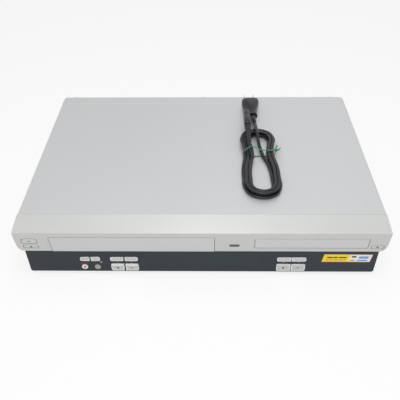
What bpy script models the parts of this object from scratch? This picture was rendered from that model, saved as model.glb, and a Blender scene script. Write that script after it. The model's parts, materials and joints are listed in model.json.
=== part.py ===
"""Disc and video cassette player, built as an assembly of separate named pieces.

Metres, +Z up. The origin is on the ground under the middle of the player, the front faces -Y,
the cassette side is at -X and the disc side at +X. At rest both doors are shut, the disc drive
is in its playing place and the cassette carriage waits at the front for a cassette.
"""
import math

import bmesh
import bpy
from mathutils import Matrix, Vector

MM = 0.001

# Clearances and walls that many pieces share
GAP = 0.3 * MM
SLIT = 0.5 * MM
RUN = 2.0 * MM
BOND = 0.4 * MM
SHEET = 0.8 * MM
WALL = 2.2 * MM

# How finely round things are divided
ROUND_SIDES = 24
SMALL_SIDES = 12
TINY_SIDES = 8
CORNER_STEPS = 3
CURVE_STEPS = 6

# Driving sizes from left to right
LEFT_END = 40.4 * MM
CASSETTE_DOOR_WIDTH = 190.0 * MM
MIDDLE_WIDTH = 46.7 * MM
TRAY_LID_WIDTH = 130.2 * MM
RIGHT_END = 22.7 * MM
CASE_WIDTH = LEFT_END + CASSETTE_DOOR_WIDTH + MIDDLE_WIDTH + TRAY_LID_WIDTH + RIGHT_END
CASE_SIDE = CASE_WIDTH / 2
DOOR_LEFT = LEFT_END - CASE_SIDE
DOOR_RIGHT = DOOR_LEFT + CASSETTE_DOOR_WIDTH
LID_LEFT = DOOR_RIGHT + MIDDLE_WIDTH
LID_RIGHT = LID_LEFT + TRAY_LID_WIDTH
TAPE_X = (DOOR_LEFT + DOOR_RIGHT) / 2
DISC_X = (LID_LEFT + LID_RIGHT) / 2

# Driving sizes from the ground up
FOOT_HEIGHT = 6.0 * MM
UNDER_DECK_ROOM = 18.4 * MM
DECK_THICKNESS = 1.2 * MM
REEL_FLANGE_HEIGHT = 1.7 * MM
REEL_CLEARANCE = 1.5 * MM
HOLDER_DROP = 11.0 * MM
CASSETTE_HEIGHT = 25.0 * MM
CASSETTE_PLAY = 1.0 * MM
SILVER_STEP = 1.1 * MM
CASSETTE_DOOR_HEIGHT = 25.9 * MM
ABOVE_DOOR = 7.6 * MM
TOP_FALL = 4.1 * MM
FLOOR_TOP = FOOT_HEIGHT + SHEET
DECK_BOTTOM = FLOOR_TOP + UNDER_DECK_ROOM
DECK_TOP = DECK_BOTTOM + DECK_THICKNESS
HOLDER_BOTTOM = DECK_TOP + GAP + REEL_FLANGE_HEIGHT + REEL_CLEARANCE + HOLDER_DROP
HOLDER_TOP = HOLDER_BOTTOM + SHEET + CASSETTE_HEIGHT + CASSETTE_PLAY + SHEET
PANEL_TOP = HOLDER_BOTTOM
SILVER_BOTTOM = PANEL_TOP + SILVER_STEP
DOOR_BOTTOM = PANEL_TOP + SLIT
DOOR_TOP = DOOR_BOTTOM + CASSETTE_DOOR_HEIGHT
CREASE = DOOR_TOP + ABOVE_DOOR
CASE_TOP = CREASE + TOP_FALL

# Driving sizes from the front back
FASCIA_DEPTH = 27.5 * MM
HOLDER_MARGIN = 3.5 * MM
HOLDER_DEPTH = 87.0 * MM
CARRIAGE_TRAVEL = 35.0 * MM
GUIDE_MARGIN = 8.0 * MM
GUIDE_RADIUS = 44.0 * MM
DECK_TAIL = 39.0 * MM
BOARD_MARGIN = 3.0 * MM
MAIN_BOARD_DEPTH = 43.5 * MM
JACK_REACH = 9.0 * MM
HOLDER_SETBACK = FASCIA_DEPTH + HOLDER_MARGIN
DRUM_SETBACK = HOLDER_SETBACK + HOLDER_DEPTH + CARRIAGE_TRAVEL + GUIDE_MARGIN + GUIDE_RADIUS
CASE_DEPTH = (DRUM_SETBACK + DECK_TAIL + BOARD_MARGIN + MAIN_BOARD_DEPTH
              + BOARD_MARGIN + SHEET + GAP)
FRONT = -(CASE_DEPTH + JACK_REACH) / 2
REAR = FRONT + CASE_DEPTH
FASCIA_BACK = FRONT + FASCIA_DEPTH
HOLDER_FRONT = FRONT + HOLDER_SETBACK
HOLDER_BACK = HOLDER_FRONT + HOLDER_DEPTH
DRUM_Y = FRONT + DRUM_SETBACK
DECK_REAR = DRUM_Y + DECK_TAIL
REAR_PANEL_BACK = REAR - SHEET - GAP
REAR_PANEL_FRONT = REAR_PANEL_BACK - SHEET

# Silver front: its face leans back towards its lower edge and its ends curve in
FACE_SETBACK = 3.8 * MM
FACE_CURVE_SHARE = 1.5
FACE_STEPS = 5
END_CURVE_WIDTH = 8.0 * MM
END_CURVE_HEIGHT = 15.0 * MM
END_CURVE_SHARE = 2.6

# Dark front panel
PANEL_SETBACK = 4.25 * MM
PANEL_INSET = 7.0 * MM
PANEL_CORNER = 2.5 * MM
PANEL_LIP = 1.6 * MM
PANEL_SIDE = CASE_SIDE - PANEL_INSET
PANEL_FACE = FRONT + PANEL_SETBACK
PANEL_BACK = PANEL_FACE + WALL
PANEL_BOTTOM = FOOT_HEIGHT

# Front control board behind the panel
BOARD_THICKNESS = 1.6 * MM
BOARD_SETBACK = 12.0 * MM
BOARD_FACE = FRONT + BOARD_SETBACK
BOARD_BACK = BOARD_FACE + BOARD_THICKNESS
SWITCH_HEIGHT = 2.4 * MM
SWITCH_WIDTH = 5.0 * MM
SWITCH_FACE = BOARD_FACE - SWITCH_HEIGHT
BOARD_POST_SHARES = (-0.88, -0.3, 0.3, 0.88)

# Keys
KEY_TRAVEL = 0.8 * MM
KEY_SPARE = 0.2 * MM
KEY_STANDOUT = 0.9 * MM
KEY_LIP = 1.0 * MM
KEY_FLANGE = 1.0 * MM
KEY_STEM_RADIUS = 1.5 * MM
KEY_CORNER = 2.0 * MM
KEY_SMALL_CORNER = 0.4 * MM
KEY_ARCH = 1.6 * MM
KEY_STEM_END = SWITCH_FACE - KEY_TRAVEL - KEY_SPARE
SMALL_KEY_RISE = 18.8 * MM
SMALL_KEY_HEIGHT = 6.2 * MM
BIG_KEY_RISE = 2.1 * MM
BIG_KEY_HEIGHT = 11.5 * MM
CHANNEL_KEYS_INSET = 63.2 * MM
CHANNEL_KEY_WIDTH = 11.1 * MM
TAPE_KEYS_INSET = 99.2 * MM
TAPE_KEY_WIDTH = 15.7 * MM
TAPE_KEY_SPLIT = 1.7 * MM
DISC_KEYS_INSET = 83.2 * MM
DISC_KEY_WIDTH = 16.9 * MM
DISC_KEY_SPLIT = 0.8 * MM
ROUND_KEY_RADIUS = 3.75 * MM
ROUND_KEY_RISE = 8.2 * MM
RECORD_KEY_INSET = 67.0 * MM
ROUND_KEY_SPACING = 15.7 * MM
POWER_KEY_INSET = 8.2 * MM
POWER_KEY_WIDTH = 17.1 * MM
POWER_KEY_HEIGHT = 8.5 * MM
POWER_KEY_DROP = 18.2 * MM
EJECT_KEY_DROP = 26.9 * MM
EJECT_KEY_HEIGHT = 6.2 * MM
OPEN_KEY_INSET = 4.2 * MM
OPEN_KEY_WIDTH = 14.1 * MM

# Cassette door
DOOR_THICKNESS = 2.0 * MM
DOOR_PIN_RADIUS = 0.8 * MM
DOOR_PIN_DROP = 1.5 * MM
DOOR_PIN_SETBACK = 1.3 * MM
DOOR_PIN_LENGTH = 2.4 * MM
DOOR_EAR_WIDTH = 3.0 * MM
DOOR_EAR_DEPTH = 4.0 * MM
DOOR_EAR_HEIGHT = 6.0 * MM
DOOR_PIN_Z = DOOR_TOP - DOOR_PIN_DROP

# Feet
FOOT_RADIUS = 12.0 * MM
FOOT_TAPER = 1.5 * MM
FOOT_HOLE_RADIUS = 3.5 * MM
FOOT_HOLE_DEPTH = 3.0 * MM
FOOT_SIDE_INSET = 45.0 * MM
FOOT_END_INSET = 34.0 * MM

# Bottom pan, cover and rear panel
PAN_FLANGE_HEIGHT = 16.0 * MM
PAN_SLOT_LENGTH = 30.0 * MM
PAN_SLOT_WIDTH = 3.0 * MM
PAN_SLOT_PITCH = 7.0 * MM
PAN_SLOTS = 7
COVER_HEM = 1.5 * MM
COVER_EDGE_RADIUS = 2.5 * MM
COVER_CORNER_RADIUS = 5.0 * MM
COVER_LIP = 5.0 * MM
COVER_LINE_INSET = 18.0 * MM
COVER_LINE_WIDTH = 0.8 * MM
COVER_LINE_DEPTH = 0.25 * MM
REAR_SLOT_HEIGHT = 16.0 * MM
REAR_SLOT_WIDTH = 2.4 * MM
REAR_SLOT_PITCH = 5.5 * MM
REAR_SLOTS = 9
REAR_SLOTS_RISE = 48.0 * MM

# Mains inlet, a figure-of-eight socket with two pins
INLET_INSET = 30.0 * MM
INLET_RISE = 26.0 * MM
INLET_FLANGE_WIDTH = 24.0 * MM
INLET_FLANGE_HEIGHT = 15.0 * MM
INLET_FLANGE_THICKNESS = 1.8 * MM
INLET_PLATE_SIDE = 19.0 * MM
INLET_RIM = 2.2 * MM
INLET_DEPTH = 15.0 * MM
INLET_WELL_DEPTH = 12.0 * MM
INLET_WELL_RADIUS = 4.3 * MM
INLET_WELL_SPREAD = 3.4 * MM
INLET_PIN_RADIUS = 1.2 * MM
INLET_PIN_SPREAD = 4.3 * MM
INLET_PIN_LENGTH = 10.0 * MM

# Signal sockets
JACKS_FROM_DECK = 53.0 * MM
JACKS_WIDTH = 128.0 * MM
JACKS_RISE = 14.0 * MM
JACKS_HEIGHT = 44.0 * MM
JACKS_DEPTH = 12.0 * MM
JACK_FACE_DROP = 0.4 * MM
JACK_BARREL_RADIUS = 4.1 * MM
JACK_BORE_RADIUS = 1.7 * MM
JACK_COLUMNS = 4
JACK_ROWS = 3
JACK_SPACING = 14.0 * MM
AERIAL_RADIUS = 4.7 * MM
AERIAL_BORE_RADIUS = 1.0 * MM
SCREEN_JACK_RADIUS = 6.0 * MM
SCREEN_JACK_REACH = 2.0 * MM

# Disc tray
TRAY_TRAVEL = 138.0 * MM
LID_BELOW_CREASE = 10.1 * MM
LID_HEIGHT = 15.8 * MM
TRAY_BELOW_LID = 3.0 * MM
TRAY_THICKNESS = 6.6 * MM
TRAY_WIDTH = 127.0 * MM
TRAY_LENGTH = 185.0 * MM
DISC_RADIUS = 60.0 * MM
SMALL_DISC_RADIUS = 40.0 * MM
DISC_THICKNESS = 1.2 * MM
DISC_SEAT_PLAY = 0.5 * MM
DISC_SEAT_DEPTH = 1.9 * MM
SMALL_DISC_STEP = 1.3 * MM
DISC_FRONT_MARGIN = 8.3 * MM
TRAY_SLOT_WIDTH = 38.0 * MM
TRAY_POCKET_INSET = 12.0 * MM
TRAY_POCKET_DEPTH = 1.8 * MM
LID_TOP = CREASE - LID_BELOW_CREASE
LID_BOTTOM = LID_TOP - LID_HEIGHT
TRAY_TOP = LID_TOP - TRAY_BELOW_LID
TRAY_BOTTOM = TRAY_TOP - TRAY_THICKNESS
DISC_SEAT_Z = TRAY_TOP - DISC_SEAT_DEPTH

# Tray rack and the gear that drives it
GEAR_MODULE = 1.0 * MM
PINION_TEETH = 14
RACK_LINE_INSET = 9.5 * MM
RACK_BAR_WIDTH = 3.5 * MM
RACK_DROP = 5.0 * MM
RACK_START = 12.0 * MM
RACK_TEETH = 50
RACK_TEETH_BEFORE = 2
TOOTH_TIP_SHARE = 0.08
TOOTH_ROOT_SHARE = 0.33
TOOTH_RISE_SHARE = 0.8
TOOTH_FALL_SHARE = 1.1
PINION_SETBACK = 24.0 * MM
PINION_HUB_DROP = 4.0 * MM
PINION_RADIUS = GEAR_MODULE * PINION_TEETH / 2
PINION_X = DISC_X - TRAY_WIDTH / 2 + RACK_LINE_INSET + PINION_RADIUS
PINION_Y = FRONT + PINION_SETBACK

# Frame that the tray slides in
LOADER_SIDE_PLAY = 0.5 * MM
LOADER_WALL = 3.0 * MM
LOADER_FLOOR_THICKNESS = 2.0 * MM
LOADER_FLOOR_DROP = 13.2 * MM
LOADER_SETBACK = 14.0 * MM
LOADER_TAIL = 16.4 * MM
LOADER_WINDOW_FRONT = 36.0 * MM
LOADER_WINDOW_BACK = 10.0 * MM
LOADER_LEG_RADIUS = 4.0 * MM
LEDGE_WIDTH = 4.0 * MM
LEDGE_HEIGHT = 2.0 * MM
HOOK_WIDTH = 2.0 * MM
HOOK_LENGTH = 26.0 * MM
LOADER_RIM = 2.7 * MM
FRONT_SILL = 6.0 * MM
TRAY_SIDE = TRAY_WIDTH / 2
LOADER_INNER = TRAY_SIDE + LOADER_SIDE_PLAY
LOADER_OUTER = LOADER_INNER + LOADER_WALL
LOADER_FRONT = FRONT + LOADER_SETBACK
LOADER_FLOOR_TOP = TRAY_BOTTOM - LOADER_FLOOR_DROP
LOADER_FLOOR_BOTTOM = LOADER_FLOOR_TOP - LOADER_FLOOR_THICKNESS
LOADER_TOP = TRAY_TOP + LOADER_RIM

# Tray motor
TRAY_MOTOR_RADIUS = 9.0 * MM
TRAY_MOTOR_HEIGHT = 20.0 * MM
TRAY_MOTOR_EDGE = 1.0 * MM
TRAY_MOTOR_SHAFT_RADIUS = 1.0 * MM
TRAY_MOTOR_OFFSET = 27.0 * MM
TRAY_MOTOR_SHAFT_RISE = 4.0 * MM

# Clamp bridge and clamper over the disc
BRIDGE_THICKNESS = 1.5 * MM
BRIDGE_HALF_WIDTH = 17.0 * MM
BRIDGE_END_WIDTH = 12.0 * MM
BRIDGE_RIB = 1.0 * MM
BRIDGE_NECK_SHARE = 1.6
CLAMP_HOLE_RADIUS = 11.0 * MM
CLAMP_NECK_RADIUS = 10.0 * MM
CLAMP_PAD_RADIUS = 15.0 * MM
CLAMP_CAP_RADIUS = 13.5 * MM
CLAMP_PAD_THICKNESS = 1.7 * MM
CLAMP_CAP_THICKNESS = 1.4 * MM
CLAMP_DISH_RADIUS = 8.5 * MM
CLAMP_DISH_DEPTH = 1.6 * MM
CLAMP_REST = 0.5 * MM
BRIDGE_BOTTOM = LOADER_TOP + GAP
BRIDGE_TOP = BRIDGE_BOTTOM + BRIDGE_THICKNESS

# Traverse: the drive unit that tips down when the tray opens
TRAVERSE_TIP = math.radians(3.5)
TRAVERSE_HALF_WIDTH = 44.0 * MM
TRAVERSE_THICKNESS = 2.0 * MM
TRAVERSE_DROP = 10.7 * MM
TRAVERSE_FRONT_REACH = 20.0 * MM
TRAVERSE_BACK_REACH = 102.0 * MM
TRAVERSE_HINGE_REACH = 114.0 * MM
TRAVERSE_WALL = 3.0 * MM
TRAVERSE_WALL_TOP_DROP = 1.3 * MM
TRAVERSE_REAR_WALL_REACH = 78.0 * MM
TRAVERSE_PIN_RADIUS = 1.5 * MM
TRAVERSE_PIN_LENGTH = 7.0 * MM
TRAVERSE_ARM_WIDTH = 6.0 * MM
TRAVERSE_EAR_WIDTH = 4.0 * MM
TRAVERSE_EAR_HEIGHT = 8.0 * MM
TRAVERSE_EAR_LENGTH = 10.0 * MM
SLED_WINDOW_HALF = 23.0 * MM
SPINDLE_MOTOR_RADIUS = 12.0 * MM
SPINDLE_MOTOR_DROP = 3.5 * MM
SPINDLE_MOTOR_RISE = 4.0 * MM
TRAVERSE_BOTTOM = TRAY_BOTTOM - TRAVERSE_DROP
TRAVERSE_TOP = TRAVERSE_BOTTOM + TRAVERSE_THICKNESS
TRAVERSE_WALL_TOP = TRAY_BOTTOM - TRAVERSE_WALL_TOP_DROP
TRAVERSE_HINGE_Z = TRAVERSE_BOTTOM + TRAVERSE_PIN_RADIUS

LOADER_WINDOW_WIDTH = 2 * (TRAVERSE_HALF_WIDTH + TRAVERSE_EAR_WIDTH)

# Turntable on the spindle motor
TABLE_RADIUS = 15.0 * MM
TABLE_THICKNESS = 1.8 * MM
TABLE_HUB_RADIUS = 6.0 * MM
TABLE_CONE_RADIUS = 7.4 * MM
TABLE_CONE_HEIGHT = 1.2 * MM
TABLE_CONE_TOP_RADIUS = 5.0 * MM
DISC_LIFT = 0.9 * MM
SPINDLE_RADIUS = 1.5 * MM
SPINDLE_LENGTH = 12.0 * MM
TABLE_TOP = DISC_SEAT_Z + DISC_LIFT

# Pickup, its rods and its feed screw
SLED_TRAVEL = 34.0 * MM
SLED_MARGIN = 0.8 * MM
SLED_LENGTH = 30.0 * MM
SLED_HALF_WIDTH = 19.0 * MM
SLED_BELOW_ROD = 3.0 * MM
SLED_ABOVE_ROD = 3.2 * MM
SLED_BUSH_RADIUS = 3.3 * MM
LENS_RADIUS = 4.0 * MM
LENS_RISE = 2.4 * MM
LENS_FORWARD = 4.0 * MM
ROD_RADIUS = 1.5 * MM
ROD_INSET = 16.0 * MM
ROD_SPREAD = TRAVERSE_HALF_WIDTH - ROD_INSET
ROD_RISE = 4.0 * MM
FEED_SCREW_OFFSET = 10.0 * MM
FEED_SCREW_RADIUS = 2.0 * MM
FEED_THREAD_DEPTH = 0.4 * MM
FEED_THREAD_PITCH = 6.0 * MM
FEED_TRUNNION_RADIUS = 1.0 * MM
FEED_FINGER_HALF = 4.0 * MM
FEED_FINGER_HEIGHT = 1.4 * MM
ROD_Z = TRAVERSE_TOP + ROD_RISE

# Disc centre, and the loader's end behind the drive unit's hinge
DISC_Y = FRONT + FACE_SETBACK + WALL + GAP + DISC_FRONT_MARGIN + DISC_RADIUS
LOADER_BACK = DISC_Y + TRAVERSE_HINGE_REACH + LOADER_TAIL

# Tape deck plate
DECK_LEFT_MARGIN = 13.4 * MM
DECK_RIGHT_MARGIN = 12.6 * MM
DECK_LEG_RADIUS = 4.0 * MM
DECK_LEG_INSET = 8.0 * MM
DECK_LEFT = DOOR_LEFT - DECK_LEFT_MARGIN
DECK_RIGHT = DOOR_RIGHT + DECK_RIGHT_MARGIN

# Head drum
DRUM_RADIUS = 31.0 * MM
DRUM_FOOT_RADIUS = 34.0 * MM
DRUM_FOOT_HEIGHT = 3.0 * MM
DRUM_BASE_HEIGHT = 15.0 * MM
DRUM_HEIGHT = 12.0 * MM
DRUM_CAP_RADIUS = 17.0 * MM
DRUM_CAP_HEIGHT = 3.0 * MM
DRUM_TILT = math.radians(5.9)
DRUM_GAP = 0.4 * MM

# Reel tables
REEL_SPREAD = 46.3 * MM
REEL_FORWARD = 0.0 * MM
REEL_FLANGE_RADIUS = 18.0 * MM
REEL_HUB_RADIUS = 8.5 * MM
REEL_HUB_CLEARANCE = 1.3 * MM
REEL_POST_RADIUS = 1.5 * MM
REEL_SPLINES = 6
REEL_GROOVE_SHARE = 0.7
REEL_SPLINE_DEPTH = 1.2 * MM
REEL_NOTCH_HALF = 12.0 * MM
REEL_Y = HOLDER_BACK + REEL_FORWARD

# Capstan and pinch roller
CAPSTAN_SIDE = 56.0 * MM
CAPSTAN_FORWARD = 43.0 * MM
CAPSTAN_RADIUS = 2.0 * MM
CAPSTAN_RISE = 21.0 * MM
ROTOR_RADIUS = 23.0 * MM
ROTOR_HEIGHT = 7.0 * MM
ROTOR_DROP = 14.0 * MM
ROTOR_RISE = 1.5 * MM
BEARING_RADIUS = 5.0 * MM
BEARING_RISE = 0.5 * MM
ROLLER_RADIUS = 7.0 * MM
ROLLER_HEIGHT = 14.0 * MM
ROLLER_AXLE_RADIUS = 1.5 * MM
PINCH_NIP = 0.4 * MM
PINCH_SWING = math.radians(18.0)
PINCH_PIVOT_SIDE = 4.2 * MM
PINCH_PIVOT_BACK = 23.0 * MM
PINCH_POST_RADIUS = 2.0 * MM
PINCH_POST_END = 1.0 * MM
PINCH_ARM_THICKNESS = 2.0 * MM
PINCH_ARM_RADIUS = 5.0 * MM
PINCH_ARM_RISE = 0.8 * MM

# Tape guides that run round the drum
GUIDE_SWEEP = math.radians(100.0)
GUIDE_START = math.radians(28.0)
GUIDE_BASE_HALF = 5.5 * MM
GUIDE_BASE_HEIGHT = 3.0 * MM
GUIDE_BASE_SPAN = math.radians(8.0)
GUIDE_POST_RADIUS = 3.0 * MM
GUIDE_POST_HEIGHT = 15.0 * MM
GUIDE_FLANGE_RADIUS = 4.0 * MM
GUIDE_FLANGE_HEIGHT = 1.2 * MM
GUIDE_PEG_RADIUS = 1.5 * MM
GUIDE_PEG_DROP = 3.0 * MM
GUIDE_SLOT_HALF = 2.0 * MM
GUIDE_SLOT_SPARE = math.radians(4.0)
GUIDE_SLOT_STEPS = 14

# Fixed heads and posts on the deck
HEAD_BLOCK_SIDE = 50.5 * MM
HEAD_BLOCK_FORWARD = 27.0 * MM
HEAD_BLOCK_SIZE = 8.0 * MM
HEAD_BLOCK_HEIGHT = 17.0 * MM
ERASE_HEAD_SIDE = 55.4 * MM
ERASE_HEAD_FORWARD = 33.0 * MM
FIXED_POST_RADIUS = 2.0 * MM

# Cassette holder, its slider and the fixed side brackets
HOLDER_SIDE_PLAY = 0.2 * MM
HOLDER_TOP_WIDTH = 25.0 * MM
HOLDER_STRAP = 9.0 * MM
HOLDER_PIN_RADIUS = 1.5 * MM
HOLDER_PIN_RISE = 9.1 * MM
HOLDER_PIN_FRONT = 20.0 * MM
HOLDER_PIN_BACK = 70.0 * MM
HOLDER_PIN_LENGTH = 4.3 * MM
SLIDER_GAP = 1.0 * MM
SLIDER_THICKNESS = 1.2 * MM
SLIDER_OUTER_GAP = 0.7 * MM
SLIDER_FOOT_RISE = 7.6 * MM
SLIDER_END_MARGIN = 8.0 * MM
SLIDER_BEAM_GAP = 1.0 * MM
SLIDER_BEAM_THICKNESS = 1.5 * MM
SLIDER_BEAM_DEPTH = 20.0 * MM
SLIDER_BEAM_FORWARD = 29.0 * MM
BRACKET_THICKNESS = 1.2 * MM
BRACKET_FLANGE = 7.0 * MM
BRACKET_TOP_RISE = 3.5 * MM
BRACKET_END_MARGIN = 4.0 * MM
BRACKET_BAR_HEIGHT = 6.0 * MM
PIN_PLAY = 0.3 * MM
WINDOW_MARGIN = 1.0 * MM
HOLDER_LEFT = DOOR_LEFT + HOLDER_SIDE_PLAY
HOLDER_RIGHT = DOOR_RIGHT - HOLDER_SIDE_PLAY
HOLDER_PIN_Z = HOLDER_BOTTOM + HOLDER_PIN_RISE
SLIDER_OFFSET = SLIDER_GAP + SLIDER_THICKNESS
BRACKET_OFFSET = SLIDER_OFFSET + SLIDER_OUTER_GAP

# Circuit boards behind the mechanisms
MAIN_BOARD_RISE = 7.2 * MM
BOARD_POST_RADIUS = 3.0 * MM
BOARD_POST_INSET = 6.0 * MM
POWER_BOARD_RISE = 5.2 * MM
POWER_BOARD_MARGIN = 7.0 * MM
TUNER_WIDTH = 40.0 * MM
TUNER_HEIGHT = 30.0 * MM
TUNER_INSET = 5.0 * MM
CHIP_SIZE = 22.0 * MM
CHIP_HEIGHT = 2.5 * MM
MAIN_CHIP_SHARES = (0.2, 0.55)
MAIN_CAN_SHARES = (0.05, 0.34, 0.4, 0.68)
CAN_RADIUS = 5.0 * MM
CAN_HEIGHT = 14.0 * MM
TRANSFORMER_WIDTH = 34.0 * MM
TRANSFORMER_DEPTH = 28.0 * MM
TRANSFORMER_HEIGHT = 27.0 * MM
RESERVOIR_RADIUS = 11.0 * MM
RESERVOIR_HEIGHT = 32.0 * MM
HEAT_SINK_THICKNESS = 3.0 * MM
HEAT_SINK_LENGTH = 50.0 * MM
HEAT_SINK_HEIGHT = 34.0 * MM
DISPLAY_WIDTH = 110.0 * MM
DISPLAY_HEIGHT = 16.0 * MM
DISPLAY_DEPTH = 3.2 * MM
DISPLAY_RISE = 11.0 * MM
DISPLAY_OFFSET = 0.5 * MM

# Mains lead, folded into a tied hank that lies on the cover
CORD_DIAMETER = 3.6 * MM
CORD_RESOLUTION = 1
TIE_THICKNESS = 0.6 * MM
HANK_X = 75.2 * MM
HANK_SETBACK = 123.5 * MM
HANK_LIFT = GAP + TIE_THICKNESS + GAP
HANK_INNER_RADIUS = 12.2 * MM
HANK_STEP = 4.4 * MM
HANK_LAYER_STEP = 4.2 * MM
HANK_RUN_HALF = 47.0 * MM
HANK_WAIST = 4.6 * MM
HANK_WAIST_HALF = 40.0 * MM
HANK_WAIST_OFFSET = 16.5 * MM
HANK_START_TURN = 1 / 6
HANK_OUTWARD_TURNS = 2.5
HANK_INWARD_TURNS = 2.0
HANK_CLIMB_TURNS = 1 / 6
HANK_RUN_SHARE = 1 / 3
HANK_POINTS_PER_LOOP = 24
CORD_BASE = CASE_TOP + HANK_LIFT + CORD_DIAMETER / 2
HANK_TOP = CORD_BASE + HANK_LAYER_STEP + CORD_DIAMETER / 2

# Mains plug at one end of the lead
PLUG_SETBACK = 214.0 * MM
PLUG_X = 73.0 * MM
PLUG_TURN = math.radians(3.0)
PLUG_COLLAR_RADIUS = 6.5 * MM
PLUG_COLLAR_LENGTH = 3.0 * MM
PLUG_RELIEF_LENGTH = 12.0 * MM
PLUG_RELIEF_RADIUS = 3.4 * MM
PLUG_BODY_LENGTH = 38.0 * MM
PLUG_BODY_WIDTH = 25.0 * MM
PLUG_BODY_THICKNESS = 16.0 * MM
PLUG_NECK_THICKNESS = 8.5 * MM
PLUG_PLAN_SHARES = ((0.38, 0.0), (0.42, 0.2), (0.6, 0.45), (0.86, 0.68), (1.0, 0.82), (1.0, 0.94),
                    (0.92, 1.0))
BLADE_LENGTH = 17.0 * MM
BLADE_WIDTH = 6.3 * MM
BLADE_THICKNESS = 1.5 * MM
BLADE_SPREAD = 6.35 * MM
PLUG_Z = CASE_TOP + GAP + PLUG_BODY_THICKNESS / 2

# Connector at the other end
CONNECTOR_X = 62.4 * MM
CONNECTOR_SETBACK = 151.0 * MM
CONNECTOR_RELIEF_LENGTH = 38.0 * MM
CONNECTOR_RELIEF_RADIUS = 2.6 * MM
CONNECTOR_RELIEF_END_RADIUS = 4.2 * MM
CONNECTOR_RIBS = 7
CONNECTOR_RIB_SHARE = 0.78
CONNECTOR_CORNER_SHARE = 0.4
CONNECTOR_LENGTH = 34.0 * MM
CONNECTOR_WIDTH = 9.6 * MM
CONNECTOR_HEIGHT = 13.6 * MM
CONNECTOR_Z = HANK_TOP + GAP + CONNECTOR_HEIGHT / 2

# Free routes of the lead and the tie: X, distance behind the crease, height over the lowest loop
PLUG_END_POINTS = [
    (73.02, 213.7, 5.3), (73.22, 209.8, 5.3), (73.5, 203.0, 7.0), (73.8, 195.0, 8.9),
    (74.0, 186.0, 9.3), (74.6, 176.0, 8.6), (75.3, 166.0, 6.0), (76.6, 156.0, 3.0),
    (78.6, 146.0, 0.9), (80.6, 136.0, 0.1),
]
CONNECTOR_END_POINTS = [
    (65.6, 128.0, 4.8), (65.6, 133.0, 6.6), (65.2, 138.0, 9.0), (64.2, 143.0, 11.4),
    (62.4, 147.0, 13.1), (62.4, 150.7, 13.1),
]
TIE_POINTS = [
    (99.5, 152.5, 6.6), (98.2, 147.6, 7.0), (97.0, 143.6, 7.2), (95.0, 141.4, 7.2),
    (92.0, 141.0, 6.9), (84.0, 140.8, 6.9), (75.0, 140.6, 8.6), (70.0, 140.5, 11.8),
    (65.2, 140.4, 13.2), (61.0, 140.2, 11.6), (57.0, 140.1, 8.4), (54.4, 140.0, 5.2),
    (53.7, 139.9, 1.0), (54.6, 139.9, -1.9), (56.8, 140.0, -2.4), (75.0, 140.0, -2.4),
    (92.5, 140.2, -2.4), (94.8, 140.3, -1.8), (95.8, 140.4, 0.4), (96.0, 140.5, 3.5),
    (97.4, 141.0, 5.2), (100.6, 143.4, 5.4), (103.5, 149.0, 4.8),
]

SILVER_PLASTIC = ((0.56, 0.56, 0.55), 0.38, 0.35)
SILVER_PAINT = ((0.56, 0.57, 0.57), 0.42, 0.6)
DARK_PLASTIC = ((0.035, 0.042, 0.055), 0.25, 0.0)
BLACK_PLASTIC = ((0.02, 0.02, 0.022), 0.5, 0.0)
PALE_PLASTIC = ((0.66, 0.66, 0.65), 0.4, 0.2)
WHITE_PLASTIC = ((0.75, 0.75, 0.72), 0.5, 0.0)
STEEL = ((0.55, 0.56, 0.57), 0.35, 1.0)
ALUMINIUM = ((0.8, 0.81, 0.82), 0.25, 1.0)
BOARD_GREEN = ((0.05, 0.16, 0.07), 0.5, 0.0)
BOARD_BROWN = ((0.33, 0.2, 0.09), 0.6, 0.0)
RUBBER = ((0.025, 0.025, 0.025), 0.8, 0.0)
TIE_GREEN = ((0.03, 0.2, 0.08), 0.5, 0.0)


def clear_scene():
    """Remove every object that the scene starts with."""
    for item in list(bpy.data.objects):
        bpy.data.objects.remove(item, do_unlink=True)


def make_finish(name, look):
    """One Principled material with a colour, a roughness and a metallic value."""
    colour, roughness, metallic = look
    material = bpy.data.materials.new(name)
    material.use_nodes = True
    shader = material.node_tree.nodes["Principled BSDF"]
    shader.inputs["Base Color"].default_value = (*colour, 1.0)
    shader.inputs["Roughness"].default_value = roughness
    shader.inputs["Metallic"].default_value = metallic
    return material


def place(name, mesh, look, origin=(0.0, 0.0, 0.0), parent=None):
    """Put a finished mesh in the scene, with its object's origin on its joint."""
    mesh.transform(Matrix.Translation(-Vector(origin)))
    mesh.name = name
    mesh.materials.clear()
    mesh.materials.append(make_finish(name + "_finish", look))
    mesh.shade_smooth()
    mesh.set_sharp_from_angle(angle=math.radians(30.0))
    item = bpy.data.objects.new(name, mesh)
    bpy.context.collection.objects.link(item)
    item.location = origin
    if parent is not None:
        item.parent = parent
        item.location = Vector(origin) - parent.matrix_world.translation
    bpy.context.view_layer.update()
    return item


def finish_bmesh(shape):
    """Turn a bmesh into a mesh of outward-facing triangles."""
    bmesh.ops.recalc_face_normals(shape, faces=shape.faces[:])
    bmesh.ops.triangulate(shape, faces=shape.faces[:], ngon_method="EAR_CLIP")
    mesh = bpy.data.meshes.new("shape")
    shape.to_mesh(mesh)
    shape.free()
    return mesh


def prism(outline, axis, span):
    """A solid with a flat outline in the two other axes, running along one axis."""
    order = {"X": (2, 0, 1), "Y": (0, 2, 1), "Z": (0, 1, 2)}[axis]
    shape = bmesh.new()
    rings = []
    for depth in span:
        values = [(u, v, depth) for u, v in outline]
        rings.append([shape.verts.new([value[i] for i in order]) for value in values])
    low, high = rings
    count = len(outline)
    shape.faces.new(low)
    shape.faces.new(high)
    for i in range(count):
        j = (i + 1) % count
        shape.faces.new((low[i], low[j], high[j], high[i]))
    return finish_bmesh(shape)


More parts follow.
